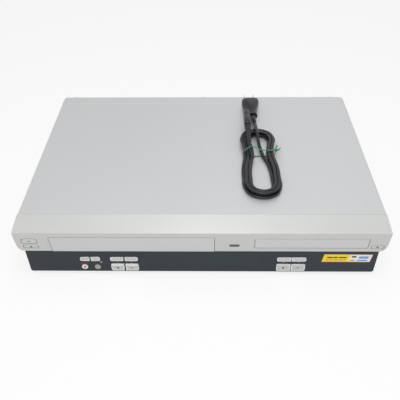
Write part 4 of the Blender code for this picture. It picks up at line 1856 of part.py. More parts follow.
def make_connector():
    """The figure-of-eight connector with its ribbed strain relief."""
    pitch = CONNECTOR_RELIEF_LENGTH / CONNECTOR_RIBS
    profile = []
    for i in range(CONNECTOR_RIBS):
        share = i / CONNECTOR_RIBS
        radius = (CONNECTOR_RELIEF_RADIUS
                  + (CONNECTOR_RELIEF_END_RADIUS - CONNECTOR_RELIEF_RADIUS) * share)
        start = i * pitch
        profile += [(radius, start), (radius, start + pitch / 2),
                    (radius * CONNECTOR_RIB_SHARE, start + pitch / 2),
                    (radius * CONNECTOR_RIB_SHARE, start + pitch)]
    profile.append((CONNECTOR_RELIEF_END_RADIUS * CONNECTOR_RIB_SHARE,
                    CONNECTOR_RELIEF_LENGTH + BOND))
    relief = turned(profile, 0.0, 0.0, SMALL_SIDES)
    relief.transform(Matrix.Rotation(-math.pi / 2, 4, "X"))
    start = CONNECTOR_RELIEF_LENGTH
    corner = CONNECTOR_WIDTH * CONNECTOR_CORNER_SHARE
    body = prism(rounded_outline(centred(0.0, CONNECTOR_WIDTH / 2),
                                 centred(0.0, CONNECTOR_HEIGHT / 2), (corner,) * 4),
                 "Y", (start, start + CONNECTOR_LENGTH))
    mesh = joined(body, relief)
    origin = (CONNECTOR_X, FRONT + CONNECTOR_SETBACK, CONNECTOR_Z)
    mesh.transform(Matrix.Translation(origin))
    return place("cord_connector", mesh, RUBBER, origin=origin)



def make_tie():
    """The wire tie round the hank's waist, with its two twisted tails."""
    mesh = tube(free_route(TIE_POINTS), TIE_THICKNESS / 2, CORD_RESOLUTION)
    return place("twist_tie", mesh, TIE_GREEN)


def build():
    """Make every piece of the player."""
    clear_scene()
    make_bottom_chassis()
    make_rear_panel()
    make_top_cover()
    make_fascia()
    make_control_panel()
    make_feet()
    make_cassette_door()
    make_fascia_keys()
    make_panel_keys()
    make_front_board()
    tray = make_disc_tray()
    make_tray_lid(tray)
    make_tray_pinion()
    make_loader_frame()
    make_tray_motor()
    make_clamp_bridge()
    make_disc_clamper()
    traverse = make_traverse()
    make_turntable(traverse)
    make_pickup(traverse)
    make_rods_and_screw(traverse)
    make_deck_plate()
    make_drum()
    make_capstan()
    make_pinch_arm()
    make_reel_tables()
    make_tape_guides()
    slider = make_slider()
    make_cassette_holder(slider)
    make_carriage_frame()
    make_main_board()
    make_power_board()
    make_mains_inlet()
    make_jack_block()
    make_hank()
    make_plug()
    make_connector()
    make_tie()


build()
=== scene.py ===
"""Dressed model of a slim silver player for discs and video cassettes, with its mains lead."""
import json
import logging
import math
from dataclasses import dataclass, field
from enum import Enum, IntEnum
from typing import Callable, Optional, Sequence, Union

import bmesh
import bpy
from mathutils import Matrix, Vector


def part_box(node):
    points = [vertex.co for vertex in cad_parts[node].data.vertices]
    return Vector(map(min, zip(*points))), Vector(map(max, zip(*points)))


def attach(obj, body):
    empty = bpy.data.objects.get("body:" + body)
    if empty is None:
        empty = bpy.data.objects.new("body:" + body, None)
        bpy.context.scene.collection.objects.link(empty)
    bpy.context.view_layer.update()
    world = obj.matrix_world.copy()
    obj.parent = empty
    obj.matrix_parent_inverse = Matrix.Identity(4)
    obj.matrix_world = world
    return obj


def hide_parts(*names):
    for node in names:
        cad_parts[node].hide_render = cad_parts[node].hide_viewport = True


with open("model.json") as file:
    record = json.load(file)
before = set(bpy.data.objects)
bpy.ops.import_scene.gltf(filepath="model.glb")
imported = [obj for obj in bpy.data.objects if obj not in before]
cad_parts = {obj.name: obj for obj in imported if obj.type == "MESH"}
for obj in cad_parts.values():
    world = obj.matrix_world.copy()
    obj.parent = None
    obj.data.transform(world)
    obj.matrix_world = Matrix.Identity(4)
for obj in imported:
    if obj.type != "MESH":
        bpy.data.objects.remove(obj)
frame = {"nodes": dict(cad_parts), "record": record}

MM = 0.001
LOG = logging.getLogger("player")
Colour = tuple[float, float, float]
Point = Sequence[float]
Span = tuple[float, float]

# Places that the pieces share, in millimetres in the player's frame
FRONT = -151.8
REAR = 142.8
CREASE = 74.9
SILVER_BOTTOM = 42.0
CASE_SIDE = 215.0
PANEL_FACE = -147.55
DISC_X = 127.2
DISC_Y = -77.2
TAPE_X = -79.6
DRUM_Y = 53.2

# How meshes are joined, sorted and softened
JOIN = 0.001 * MM
SLIVER = 0.004 * MM
FLAT_ANGLE = math.radians(0.5)
BEVEL_ANGLE = math.radians(40)
NORMAL_WEIGHT = 100
SIGN_FOOT = 0.15

# How far the silver face falls back below its crease, and how fast
FACE_SETBACK = 3.8
FACE_POWER = 1.5


def tone(red: float, green: float, blue: float) -> Colour:
    """Turn a colour in steps of 255 into the linear colour that shaders take."""
    return tuple((c / 255 / 12.92) if c <= 10.3 else ((c / 255 + 0.055) / 1.055) ** 2.4
                 for c in (red, green, blue))


# Shader maths

Value = Union[float, "Wire"]


def maths(operation: str, turned: bool = False) -> Callable[..., "Wire"]:
    """Make a method that adds one Math node.

    Args:
        operation: The node's operation.
        turned: Whether the wire itself is the second value.

    Returns:
        The method, which gives the wire out of the node.
    """
    def method(wire: "Wire", other: Value = 0.0) -> "Wire":
        """Work out the operation on the wire and another value."""
        values = {0: other, 1: wire} if turned else {0: wire, 1: other}
        return wire.nodes.add("ShaderNodeMath", {"operation": operation}, values)

    return method


class Wire:
    """A shader socket that takes part in sums; a comparison gives 1 or 0."""

    def __init__(self, nodes: "Nodes", socket: Optional[bpy.types.NodeSocket]) -> None:
        """Keep the socket and the tree that it is in."""
        self.nodes = nodes
        self.socket = socket

    __add__, __radd__ = maths("ADD"), maths("ADD", True)
    __sub__, __rsub__ = maths("SUBTRACT"), maths("SUBTRACT", True)
    __mul__, __rmul__ = maths("MULTIPLY"), maths("MULTIPLY", True)
    __truediv__ = maths("DIVIDE")
    __gt__, __lt__ = maths("GREATER_THAN"), maths("LESS_THAN")
    power, waves, distance = maths("POWER"), maths("SINE"), maths("ABSOLUTE")


class Nodes:
    """A material's node tree while it is being made."""

    def __init__(self, tree: bpy.types.NodeTree) -> None:
        """Start on a tree whose old nodes are taken out."""
        self.tree = tree
        tree.nodes.clear()

    def add(self, kind: str, settings: Optional[dict[str, object]] = None,
            inputs: Optional[dict[Union[int, str], object]] = None,
            output: Union[int, str] = 0) -> Wire:
        """Add one node.

        Args:
            kind: The node's type.
            settings: Its settings, set first; "stops" gives a ramp's (place, colour) pairs.
            inputs: Values or wires for its sockets, by name or number.
            output: The socket that the answer is read from.

        Returns:
            The wire out of that socket, or an empty one from an output node.
        """
        node = self.tree.nodes.new(kind)
        for key, value in (settings or {}).items():
            if key == "stops":
                stops = node.color_ramp.elements
                while len(stops) < len(value):
                    stops.new(1.0)
                for stop, (place, colour) in zip(stops, value):
                    stop.position = place
                    stop.color = (*colour, 1.0)
            else:
                setattr(node, key, value)
        for key, value in (inputs or {}).items():
            if isinstance(value, Wire):
                self.tree.links.new(value.socket, node.inputs[key])
            elif isinstance(value, tuple) and len(value) == 3 and node.inputs[key].type == "RGBA":
                node.inputs[key].default_value = (*value, 1.0)
            else:
                node.inputs[key].default_value = value
        return Wire(self, node.outputs[output] if len(node.outputs) else None)

    def place(self, stretch: Point = (1.0, 1.0, 1.0), centre: Point = (0.0, 0.0, 0.0)) -> Wire:
        """Object coordinates, stretched about a centre.

        Args:
            stretch: The share on each axis.
            centre: The centre, in metres.

        Returns:
            The coordinates.
        """
        where = self.add("ShaderNodeTexCoord", output="Object")
        shifted = self.add("ShaderNodeVectorMath", {"operation": "SUBTRACT"},
                           {0: where, 1: tuple(centre)})
        return self.add("ShaderNodeVectorMath", {"operation": "MULTIPLY"},
                        {0: shifted, 1: tuple(stretch)})

    def axes(self, centre: Point = (0.0, 0.0, 0.0)) -> tuple[Wire, Wire, Wire]:
        """Object coordinates about a centre, as three numbers.

        Args:
            centre: The centre, in metres.

        Returns:
            The three numbers.
        """
        split = self.add("ShaderNodeSeparateXYZ", inputs={0: self.place(centre=centre)})
        node = split.socket.node
        return tuple(Wire(self, node.outputs[i]) for i in range(3))

    def noise(self, scale: float, where: Wire, detail: float = 2.0) -> Wire:
        """Smooth noise from 0 to 1."""
        return self.add("ShaderNodeTexNoise", {"noise_dimensions": "3D"},
                        {"Vector": where, "Scale": scale, "Detail": detail})

    def cells(self, scale: float, where: Wire, output: str = "Distance") -> Wire:
        """Cell noise: the distance to a cell's middle, or its colour."""
        return self.add("ShaderNodeTexVoronoi", {"feature": "F1"},
                        {"Vector": where, "Scale": scale}, output)

    def patches(self, scale: float, where: Wire) -> Wire:
        """A level from 0 to 1 that differs from cell to cell."""
        return self.add("ShaderNodeSeparateColor",
                        inputs={0: self.cells(scale, where, output="Color")})

    def blend(self, share: Value, first: Union[Colour, Wire],
              second: Union[Colour, Wire]) -> Wire:
        """Mix two colours by a share."""
        return self.add("ShaderNodeMix", {"data_type": "RGBA"},
                        {0: share, 6: first, 7: second}, 2)


def shaded(colour: Colour, share: float) -> Colour:
    """A colour made lighter or darker by a share."""
    return tuple(min(1.0, max(0.0, c * (1.0 + share))) for c in colour)


# Finishes

MADE: dict[str, bpy.types.Material] = {}


@dataclass(frozen=True)
class Finish:
    """A moulded or painted surface: slow drift of tone, fine grain, a little gloss drift."""
    name: str
    colour: Colour
    roughness: float = 0.4
    metallic: float = 0.0
    drift: float = 0.04
    drift_scale: float = 14.0
    grain: float = 0.012
    grain_scale: float = 2400.0
    stretch: Point = (1.0, 1.0, 1.0)
    coat: float = 0.0
    coat_roughness: float = 0.1
    specular: float = 0.5
    grain_gloss: float = 0.06
    drift_gloss: float = 0.1

    def material(self) -> bpy.types.Material:
        """Make the finish's material, or take the one made before.

        Returns:
            The material.
        """
        if self.name in MADE:
            return MADE[self.name]
        made = bpy.data.materials.new(self.name)
        made.use_nodes = True
        made.diffuse_color = (*self.colour, 1.0)
        nodes = Nodes(made.node_tree)
        where = nodes.place(self.stretch)
        slow = nodes.noise(self.drift_scale, where, 3.0)
        fine = nodes.noise(self.grain_scale, where, 2.0)
        base = nodes.blend(slow, shaded(self.colour, -self.drift), shaded(self.colour, self.drift))
        colour = self.pattern(nodes, where, base)
        height = self.relief(nodes, where, fine)
        bump = nodes.add("ShaderNodeBump", inputs={"Strength": 1.0, "Distance": self.grain * MM,
                                                   "Height": height})
        gloss = self.gloss(nodes, where, self.roughness + (fine - 0.5) * self.grain_gloss
                           + (slow - 0.5) * self.drift_gloss)
        surface = nodes.add("ShaderNodeBsdfPrincipled", inputs={
            "Base Color": colour, "Roughness": gloss, "Metallic": self.metal(nodes, where),
            "Coat Weight": self.coat, "Coat Roughness": self.coat_roughness,
            "Specular IOR Level": self.specular, "Normal": bump})
        nodes.add("ShaderNodeOutputMaterial", inputs={"Surface": surface})
        MADE[self.name] = made
        return made

    def pattern(self, nodes: Nodes, where: Wire, base: Wire) -> Wire:
        """The finish's own colouring over its drift of tone."""
        return base

    def relief(self, nodes: Nodes, where: Wire, fine: Wire) -> Wire:
        """The finish's own height over its grain."""
        return fine

    def gloss(self, nodes: Nodes, where: Wire, rough: Wire) -> Value:
        """The finish's own roughness."""
        return rough

    def metal(self, nodes: Nodes, where: Wire) -> Value:
        """How metallic the finish is."""
        return self.metallic


@dataclass(frozen=True)
class SilverPaint(Finish):
    """Silver lacquer: metal flakes in a clear binder, with faint cloudiness."""
    flake: float = 0.05
    flake_scale: float = 2600.0
    light_level: float = 0.5
    dark_level: float = 0.3
    light: float = 0.25
    dark: float = 0.35

    def pattern(self, nodes: Nodes, where: Wire, base: Wire) -> Wire:
        """Flakes that are a little lighter or darker than the binder.

        Args:
            nodes: The material's nodes.
            where: The finish's own coordinates.
            base: The colour with its drift of tone.

        Returns:
            The colour.
        """
        level = nodes.patches(self.flake_scale, where)
        pale = nodes.blend((level > self.light_level) * self.flake * 6.0, base,
                           shaded(self.colour, self.light))
        return nodes.blend((level < self.dark_level) * self.flake * 3.0, pale,
                           shaded(self.colour, -self.dark))


@dataclass(frozen=True)
class RolledSteel(Finish):
    """Plated sheet with the long faint lines of the rolling mill and pale spangles."""
    spangle: float = 0.07
    spangle_scale: float = 160.0
    line_scale: float = 900.0
    line_share: float = 0.35
    light: float = 0.2
    dark: float = 0.22

    def pattern(self, nodes: Nodes, where: Wire, base: Wire) -> Wire:
        """Rolling lines along the sheet and spangles between them.

        Args:
            nodes: The material's nodes.
            where: The finish's own coordinates.
            base: The colour with its drift of tone.

        Returns:
            The colour.
        """
        lines = nodes.noise(self.line_scale, nodes.place((0.02, 1.0, 1.0)), 2.0)
        cells = nodes.patches(self.spangle_scale, where)
        mixed = nodes.blend(lines * self.line_share, base, shaded(self.colour, -self.dark))
        return nodes.blend(cells * self.spangle * 3.0, mixed, shaded(self.colour, self.light))

    def gloss(self, nodes: Nodes, where: Wire, rough: Wire) -> Value:
        """Spangles that shine a little unevenly."""
        return rough + (nodes.patches(self.spangle_scale, where) - 0.5) * self.spangle


@dataclass(frozen=True)
class TurnedMetal(Finish):
    """Metal with the fine rings that a lathe leaves about an upright axis."""
    middle: Point = (0.0, 0.0, 0.0)
    ring_scale: float = 9000.0
    height_share: float = 0.35
    ring_share: float = 0.22
    dark: float = 0.3

    def pattern(self, nodes: Nodes, where: Wire, base: Wire) -> Wire:
        """Rings whose tone goes with their distance from the axis.

        Args:
            nodes: The material's nodes.
            where: Not used.
            base: The colour with its drift of tone.

        Returns:
            The colour.
        """
        x, y, z = nodes.axes(self.middle)
        reach = (x * x + y * y).power(0.5) + z * self.height_share
        rings = (reach * self.ring_scale).waves() * 0.5 + 0.5
        return nodes.blend(rings * self.ring_share, base, shaded(self.colour, -self.dark))


@dataclass(frozen=True)
class DarkGloss(Finish):
    """Smoked panel plastic, deep and glossy, with a cooler tint that drifts along it, and painted
    shade below its faint crease, less towards its middle.
    """
    cool: Colour = (0.014, 0.026, 0.036)
    crease: float = 18.0 * MM
    tint_scale: float = 9.0
    middle_half: float = 0.16
    painted_shade_share: float = 0.25
    dark: float = 0.4

    def pattern(self, nodes: Nodes, where: Wire, base: Wire) -> Wire:
        """A tint that changes along the panel, and painted shade below its faint crease.

        Args:
            nodes: The material's nodes.
            where: Not used.
            base: The colour with its drift of tone.

        Returns:
            The colour.
        """
        x, _, z = nodes.axes()
        middle = (1.0 - (x / self.middle_half).distance()) > 0.0
        along = nodes.noise(self.tint_scale, nodes.place((1.0, 0.2, 0.6)), 1.0)
        tinted = nodes.blend(along, base, self.cool)
        # painted shade: below its faint crease the panel is painted darker, for the different
        # reflection there, half as much in the middle
        lower = (z < self.crease) * self.painted_shade_share
        return nodes.blend(lower * (1.0 - middle * 0.5), tinted,
                           shaded(self.colour, -self.dark))


@dataclass(frozen=True)
class PrintedBoard(Finish):
    """Lacquered board with copper tracks that run one way or the other, and soldered pads."""
    track: Colour = (0.1, 0.28, 0.12)
    flat: Sequence[int] = (0, 1)
    track_scale: float = 2300.0
    patch_scale: float = 85.0
    track_share: float = 0.65
    pad_scale: float = 420.0
    pad_size: float = 0.2
    pad_share: float = 0.8

    def pattern(self, nodes: Nodes, where: Wire, base: Wire) -> Wire:
        """Tracks in patches along or across the board, with tinned pads.

        Args:
            nodes: The material's nodes.
            where: The finish's own coordinates.
            base: The colour with its drift of tone.

        Returns:
            The colour.
        """
        axes = nodes.axes()
        along, across = ((axes[i] * self.track_scale).waves() > 0.45 for i in self.flat)
        patch = nodes.patches(self.patch_scale, where)
        lines = along * (patch > 0.55) + across * (patch < 0.45)
        tracked = nodes.blend(lines * self.track_share, base, self.track)
        pads = nodes.cells(self.pad_scale, where) < self.pad_size
        return nodes.blend(pads * self.pad_share, tracked, tone(176, 178, 176))


@dataclass(frozen=True)
class CordSheath(Finish):
    """Smooth vinyl sheath with painted highlights: pale streaks along it."""

    def pattern(self, nodes: Nodes, where: Wire, base: Wire) -> Wire:
        """Painted highlights: pale streaks stretched along the lead, where light would glint."""
        # painted highlights: pale streaks, far lighter than the sheath, that stand for glints
        # along the lead
        painted_highlights = nodes.noise(420.0, nodes.place((1.0, 0.15, 1.0)), 4.0)
        return nodes.blend((painted_highlights > 0.66) * 0.12, base, shaded(self.colour, 1.2))


@dataclass(frozen=True)
class StickerPaper(Finish):
    """Printed sticker film with a yellow part and a pale part beside it."""
    split: float = 0.0

    def pattern(self, nodes: Nodes, where: Wire, base: Wire) -> Wire:
        """Yellow up to the slanted split, and pale beyond it.

        Args:
            nodes: The material's nodes.
            where: The finish's own coordinates.
            base: The colour with its drift of tone.

        Returns:
            The colour.
        """
        x, _, z = nodes.axes()
        pale = nodes.blend(nodes.noise(60.0, where), tone(224, 222, 220), tone(240, 239, 238))
        return nodes.blend((x - z * 0.16) > self.split, base, pale)


COVER_FINISH = SilverPaint("cover_lacquer", tone(196, 197, 198), 0.42, 0.35, drift=0.02,
                           drift_scale=9.0, grain=0.006, flake=0.02)
SILVER_FINISH = SilverPaint("front_lacquer", tone(199, 199, 197), 0.36, 0.35, drift=0.02,
                            flake=0.02, grain=0.006)
DOOR_FINISH = SilverPaint("door_lacquer", tone(202, 203, 202), 0.34, 0.35, drift=0.02,
                          flake=0.02, grain=0.006)
PANEL_FINISH = DarkGloss("smoked_panel", (0.012, 0.018, 0.026), 0.3, drift=0.1, coat=0.04,
                         coat_roughness=0.12, grain=0.004, specular=0.32)
WINDOW_FINISH = DarkGloss("display_window", (0.01, 0.018, 0.024), 0.16, drift=0.06, coat=0.06,
                          coat_roughness=0.05, grain=0.002, cool=(0.012, 0.026, 0.034),
                          specular=0.34)
KEY_FINISH = SilverPaint("key_lacquer", tone(222, 222, 221), 0.4, 0.15, drift=0.02, flake=0.015)
KEY_FACE_FINISH = SilverPaint("key_face_lacquer", tone(192, 193, 192), 0.46, 0.15, drift=0.03,
                              flake=0.02)
RECORD_FINISH = Finish("record_key_plastic", tone(232, 224, 222), 0.4, drift=0.03)
TIMER_FINISH = SilverPaint("timer_key_lacquer", tone(158, 160, 154), 0.46, 0.2, drift=0.05)
INK_FINISH = Finish("black_ink", tone(26, 26, 28), 0.55, drift=0.15, drift_scale=900.0)
RED_FINISH = Finish("red_ink", tone(176, 44, 48), 0.45, drift=0.12, drift_scale=700.0)
LAMP_FINISH = Finish("lamp_lens", tone(150, 156, 152), 0.2, drift=0.05, coat=0.5)
STEEL_FINISH = RolledSteel("plated_steel", tone(190, 191, 190), 0.38, 0.85, drift=0.06)
SCREW_FINISH = RolledSteel("zinc_screw", tone(172, 172, 168), 0.3, 0.9, drift=0.1,
                           drift_scale=200.0)
PIN_FINISH = RolledSteel("nickel_pin", tone(205, 202, 194), 0.24, 0.95, drift=0.06,
                         drift_scale=90.0)
GOLD_FINISH = RolledSteel("gilt_contact", tone(200, 168, 96), 0.28, 0.95, drift=0.06)
DRUM_FINISH = TurnedMetal("drum_metal", tone(214, 215, 216), 0.24, 0.95, drift=0.03,
                          middle=(TAPE_X * MM, DRUM_Y * MM, 0.0))
BLACK_FINISH = Finish("black_moulding", tone(34, 35, 37), 0.5, drift=0.12, grain=0.03,
                      grain_scale=1500.0)
TRAY_FINISH = Finish("tray_moulding", tone(40, 41, 44), 0.46, drift=0.1, grain=0.03,
                     grain_scale=1700.0)
WHITE_FINISH = Finish("acetal", tone(222, 221, 214), 0.42, drift=0.03)
RUBBER_FINISH = Finish("foot_rubber", tone(38, 38, 38), 0.82, drift=0.15, grain=0.05,
                       grain_scale=900.0)
# The lead and the plug both carry the sheath's painted highlight streaks.
CORD_FINISH = CordSheath("lead_sheath", tone(16, 17, 25), 0.3, drift=0.12, grain=0.01,
                         grain_scale=900.0, specular=0.38)
PLUG_FINISH = CordSheath("plug_vinyl", tone(20, 21, 31), 0.3, drift=0.1, grain=0.02,
                         grain_scale=700.0, specular=0.38)
TIE_FINISH = Finish("tie_film", tone(46, 122, 84), 0.36, drift=0.18, drift_scale=300.0)
STICKER_FINISH = StickerPaper("sticker_film", tone(240, 212, 36), 0.4, drift=0.04, coat=0.1,
                              split=170.5 * MM)
STICKER_EDGE = Finish("sticker_edge", tone(206, 128, 70), 0.45, drift=0.1)
BLUE_FINISH = Finish("blue_ink", tone(112, 150, 208), 0.45, drift=0.1)
ORANGE_FINISH = Finish("orange_ink", tone(226, 150, 44), 0.45, drift=0.1)
BLOCK_FINISH = Finish("grey_ink", tone(84, 84, 84), 0.5, drift=0.12, drift_scale=500.0)
PRINT_FINISH = Finish("pale_print", tone(150, 156, 162), 0.5, drift=0.1, drift_scale=500.0)
SIGN_RED = Finish("red_print", tone(150, 58, 60), 0.5, drift=0.1, drift_scale=500.0)
YELLOW_RING = Finish("yellow_ring", tone(214, 180, 40), 0.4, drift=0.05)
WHITE_RING = Finish("white_ring", tone(226, 226, 222), 0.4, drift=0.05)
RED_RING = Finish("red_ring", tone(178, 36, 34), 0.4, drift=0.05)
CAN_FINISH = Finish("capacitor_sleeve", tone(30, 34, 60), 0.35, drift=0.1, coat=0.3)
CHIP_FINISH = Finish("chip_resin", tone(32, 32, 34), 0.6, drift=0.1)
COIL_FINISH = Finish("coil_tape", tone(206, 168, 62), 0.4, drift=0.08, coat=0.2)
SWITCH_FINISH = Finish("switch_moulding", tone(52, 52, 54), 0.5, drift=0.1)
TUBE_FINISH = Finish("display_tube", tone(58, 68, 66), 0.12, drift=0.1, coat=0.6)
MAIN_BOARD_FINISH = PrintedBoard("green_board", tone(30, 84, 48), 0.42, drift=0.1,
                                 track=tone(58, 124, 70))
POWER_BOARD_FINISH = PrintedBoard("brown_board", tone(150, 112, 66), 0.55, drift=0.1,
                                  track=tone(184, 140, 80))
FRONT_BOARD_FINISH = PrintedBoard("front_board_lacquer", tone(150, 112, 66), 0.55, drift=0.1,
                                  track=tone(184, 140, 80), flat=(0, 2))


# Shapes

class Axis(Enum):
    """The axis that a shape runs along, with the order of its two flat axes."""
    X = (2, 0, 1)
    Y = (0, 2, 1)
    Z = (0, 1, 2)

    def point(self, u: float, v: float, along: float) -> tuple[float, float, float]:
        """A point in metres from millimetres across and along the axis."""
        values = (u, v, along)
        return tuple(values[i] * MM for i in self.value)


def shift(place: Point) -> Matrix:
    """The move to a place in millimetres."""
    return Matrix.Translation([p * MM for p in place])


def circle(u: float, v: float, radius: float, sides: int = 32) -> list[tuple[float, float]]:
    """Points on a circle.

    Args:
        u: Its middle's first place.
        v: Its middle's second place.
        radius: Its radius.
        sides: How many points it has.

    Returns:
        The points.
    """
    step = 2 * math.pi / sides
    return [(u + radius * math.cos(i * step), v + radius * math.sin(i * step))
            for i in range(sides)]


def box(us: Span, vs: Span) -> list[tuple[float, float]]:
    """A plain rectangle's outline."""
    return [(us[0], vs[0]), (us[1], vs[0]), (us[1], vs[1]), (us[0], vs[1])]


def rounded(us: Span, vs: Span, radii: Sequence[float], steps: int = 5) -> list:
    """A rectangle's outline with rounded corners.

    Args:
        us: Its two sides.
        vs: Its bottom and top.
        radii: Its corner radii, from the lower left round.
        steps: How many stretches a corner has.

    Returns:
        The points.
    """
    corners = ((us[0], vs[0], 1, 1, math.pi), (us[1], vs[0], -1, 1, 1.5 * math.pi),
               (us[1], vs[1], -1, -1, 0.0), (us[0], vs[1], 1, -1, 0.5 * math.pi))
    points = []
    for (u, v, du, dv, start), radius in zip(corners, radii):
        for i in range(steps + 1):
            angle = start + math.pi / 2 * i / steps
            points.append((u + radius * (du + math.cos(angle)),
                           v + radius * (dv + math.sin(angle))))
    return points


def oval(half_u: float, half_v: float, power: float, sides: int = 36) -> list:
    """A rounded box section.

    Args:
        half_u: Half its first size.
        half_v: Half its second size.
        power: How square it is; 2 gives a plain oval.
        sides: How many points it has.

    Returns:
        The points.
    """
    points = []
    for i in range(sides):
        c, s = math.cos(2 * math.pi * i / sides), math.sin(2 * math.pi * i / sides)
        points.append((math.copysign(half_u * abs(c) ** (2 / power), c),
                       math.copysign(half_v * abs(s) ** (2 / power), s)))
    return points


class Shape:
    """A mesh in the making, in metres in the player's frame."""

    def __init__(self) -> None:
        """Start with nothing, on the first finish."""
        self.mesh = bmesh.new()
        self.finish = 0

    def use(self, finish: int) -> "Shape":
        """Give the faces that follow another of the piece's finishes."""
        self.finish = finish
        return self

    def rings(self, rings: Sequence[Sequence[Point]], caps: bool = True,
              around: bool = False) -> "Shape":
        """Skin a row of rings.

        Args:
            rings: Rings of equally many points, in metres.
            caps: Whether the first and the last ring are filled.
            around: Whether the last ring joins the first.

        Returns:
            The shape itself.
        """
        rows = [[self.mesh.verts.new(point) for point in ring] for ring in rings]
        pairs = list(zip(rows, rows[1:])) + ([(rows[-1], rows[0])] if around else [])
        faces = []
        for low, high in pairs:
            for i in range(len(low)):
                j = (i + 1) % len(low)
                faces.append(self.mesh.faces.new((low[i], low[j], high[j], high[i])))
        if caps and not around:
            faces += [self.mesh.faces.new(rows[0]), self.mesh.faces.new(rows[-1])]
        for face in faces:
            face.material_index = self.finish
        return self

    def prism(self, outline: Sequence[tuple[float, float]], axis: Axis, span: Span) -> "Shape":
        """A straight bar with a flat outline, in millimetres."""
        return self.rings([[axis.point(u, v, depth) for u, v in outline] for depth in span])

    def lathe(self, profile: Sequence[tuple[float, float]], axis: Axis, middle: Point,
              sides: int = 48, around: bool = False) -> "Shape":
        """Turn a profile of (radius, height) points about an axis.

        Args:
            profile: The points, in millimetres, each radius above zero.
            axis: The axis.
            middle: Where the axis passes, in the two flat axes.
            sides: How many sides the round has.
            around: Whether the profile closes on itself, as on a ring.

        Returns:
            The shape itself.
        """
        return self.rings([[axis.point(u, v, along) for u, v in
                            circle(middle[0], middle[1], radius, sides)]
                           for radius, along in profile], around=around)

    def tube(self, points: Sequence[Vector], section: Callable[[int], list],
             start: Optional[Vector] = None) -> "Shape":
        """Sweep a section along a line.

        Args:
            points: The line, in metres.
            section: Gives the section's (side, up) points for the place along the line.
            start: A direction that the section's side keeps to at the first point; without
                it the side stays level.

        Returns:
            The shape itself.
        """
        rings = []
        side = start
        for i, point in enumerate(points):
            ahead = points[min(i + 1, len(points) - 1)] - points[max(i - 1, 0)]
            ahead.normalize()
            if start is None:
                side = ahead.cross(Vector((0.0, 0.0, 1.0))).normalized()
            side = (side - ahead * side.dot(ahead)).normalized()
            up = ahead.cross(side)
            rings.append([point + side * u + up * v for u, v in section(i)])
        return self.rings(rings)

    def node(self, name: str) -> "Shape":
        """Take a solid's own mesh, joined up and with its flat faces whole.

        Args:
            name: The solid's node.

        Returns:
            The shape itself.
        """
        self.mesh.from_mesh(frame["nodes"][name].data)
        bmesh.ops.remove_doubles(self.mesh, verts=self.mesh.verts[:], dist=JOIN)
        bmesh.ops.dissolve_degenerate(self.mesh, edges=self.mesh.edges[:], dist=SLIVER)
        bmesh.ops.dissolve_limit(self.mesh, angle_limit=FLAT_ANGLE,
                                 verts=self.mesh.verts[:], edges=self.mesh.edges[:])
        for face in self.mesh.faces:
            face.material_index = self.finish
        return self

    def paint(self, finish: int, test: Callable[[Vector, Vector], bool]) -> "Shape":
        """Give another finish to some of the faces.

        Args:
            finish: The number of the finish.
            test: Says from a face's middle, in millimetres, and normal whether it is one.

        Returns:
            The shape itself.
        """
        self.mesh.normal_update()
        for face in self.mesh.faces:
            if test(face.calc_center_median() / MM, face.normal):
                face.material_index = finish
        return self

    def groups(self, test: Callable[[Vector], bool]) -> list[list[bmesh.types.BMFace]]:
        """Faces that hang together, out of those whose middle passes a test.

        Args:
            test: Says whether a face's middle, in millimetres, is taken.

        Returns:
            One list of faces for each thing that stands by itself.
        """
        left = {face for face in self.mesh.faces if test(face.calc_center_median() / MM)}
        found = []
        while left:
            edge = [left.pop()]
            group = []
            while edge:
                face = edge.pop()
                group.append(face)
                near = {other for side in face.edges for other in side.link_faces} & left
                left -= near
                edge.extend(near)
            found.append(group)
        return sorted(found, key=lambda group: min(tuple(v.co) for f in group for v in f.verts))

    def moved(self, matrix: Matrix) -> "Shape":
        """Move the whole shape."""
        bmesh.ops.transform(self.mesh, matrix=matrix, verts=self.mesh.verts[:])
        return self

    def done(self, name: str, finishes: Sequence[Finish], smooth: float = 32.0,
             inside_out: bool = True) -> bpy.types.Object:
        """Close the work: faces outwards, finishes on, smooth where it is round.

        Args:
            name: The piece's name.
            finishes: Its finishes, in the order that its faces count them.
            smooth: The angle in degrees above which an edge stays sharp.
            inside_out: Whether the faces' sides are worked out again.

        Returns:
            The piece's object.
        """
        if inside_out:
            bmesh.ops.recalc_face_normals(self.mesh, faces=self.mesh.faces[:])
        mesh = bpy.data.meshes.new(name)
        self.mesh.to_mesh(mesh)
        self.mesh.free()
        for finish in finishes:
            mesh.materials.append(finish.material())
        mesh.shade_smooth()
        mesh.set_sharp_from_angle(angle=math.radians(smooth))
        piece = bpy.data.objects.new(name, mesh)
        bpy.context.collection.objects.link(piece)
        return piece


BODY_OF = {node: body for body, nodes in frame["record"]["behaviour"]["bodies"].items()
           for node in nodes}


def plain(piece: bpy.types.Object) -> bpy.types.Object:
    """Turn what a piece's modifiers give into its own mesh, and take them off.

    Args:
        piece: The piece.

    Returns:
        The piece.
    """
    graph = bpy.context.evaluated_depsgraph_get()
    mesh = bpy.data.meshes.new_from_object(piece.evaluated_get(graph))
    old = piece.data
    piece.modifiers.clear()
    piece.data = mesh
    mesh.name = piece.name
    bpy.data.meshes.remove(old)
    return piece


def softened(piece: bpy.types.Object, width: float, segments: int = 2) -> bpy.types.Object:
    """Round a piece's edges.

    Args:
        piece: The piece.
        width: How far the rounding reaches, in millimetres.
        segments: How many faces it has across.

    Returns:
        The piece.
    """
    bevel = piece.modifiers.new("edges", "BEVEL")
    bevel.width = width * MM
    bevel.segments = segments
    bevel.limit_method = "ANGLE"
    bevel.angle_limit = BEVEL_ANGLE
    bevel.use_clamp_overlap = True
    bevel.harden_normals = True
    return piece


def levelled(piece: bpy.types.Object) -> bpy.types.Object:
    """Let a piece's large flat faces lead its shading.

    Args:
        piece: The piece.

    Returns:
        The piece.
    """
    normals = piece.modifiers.new("normals", "WEIGHTED_NORMAL")
    normals.mode = "FACE_AREA"
    normals.weight = NORMAL_WEIGHT
    normals.keep_sharp = True
    return plain(piece)


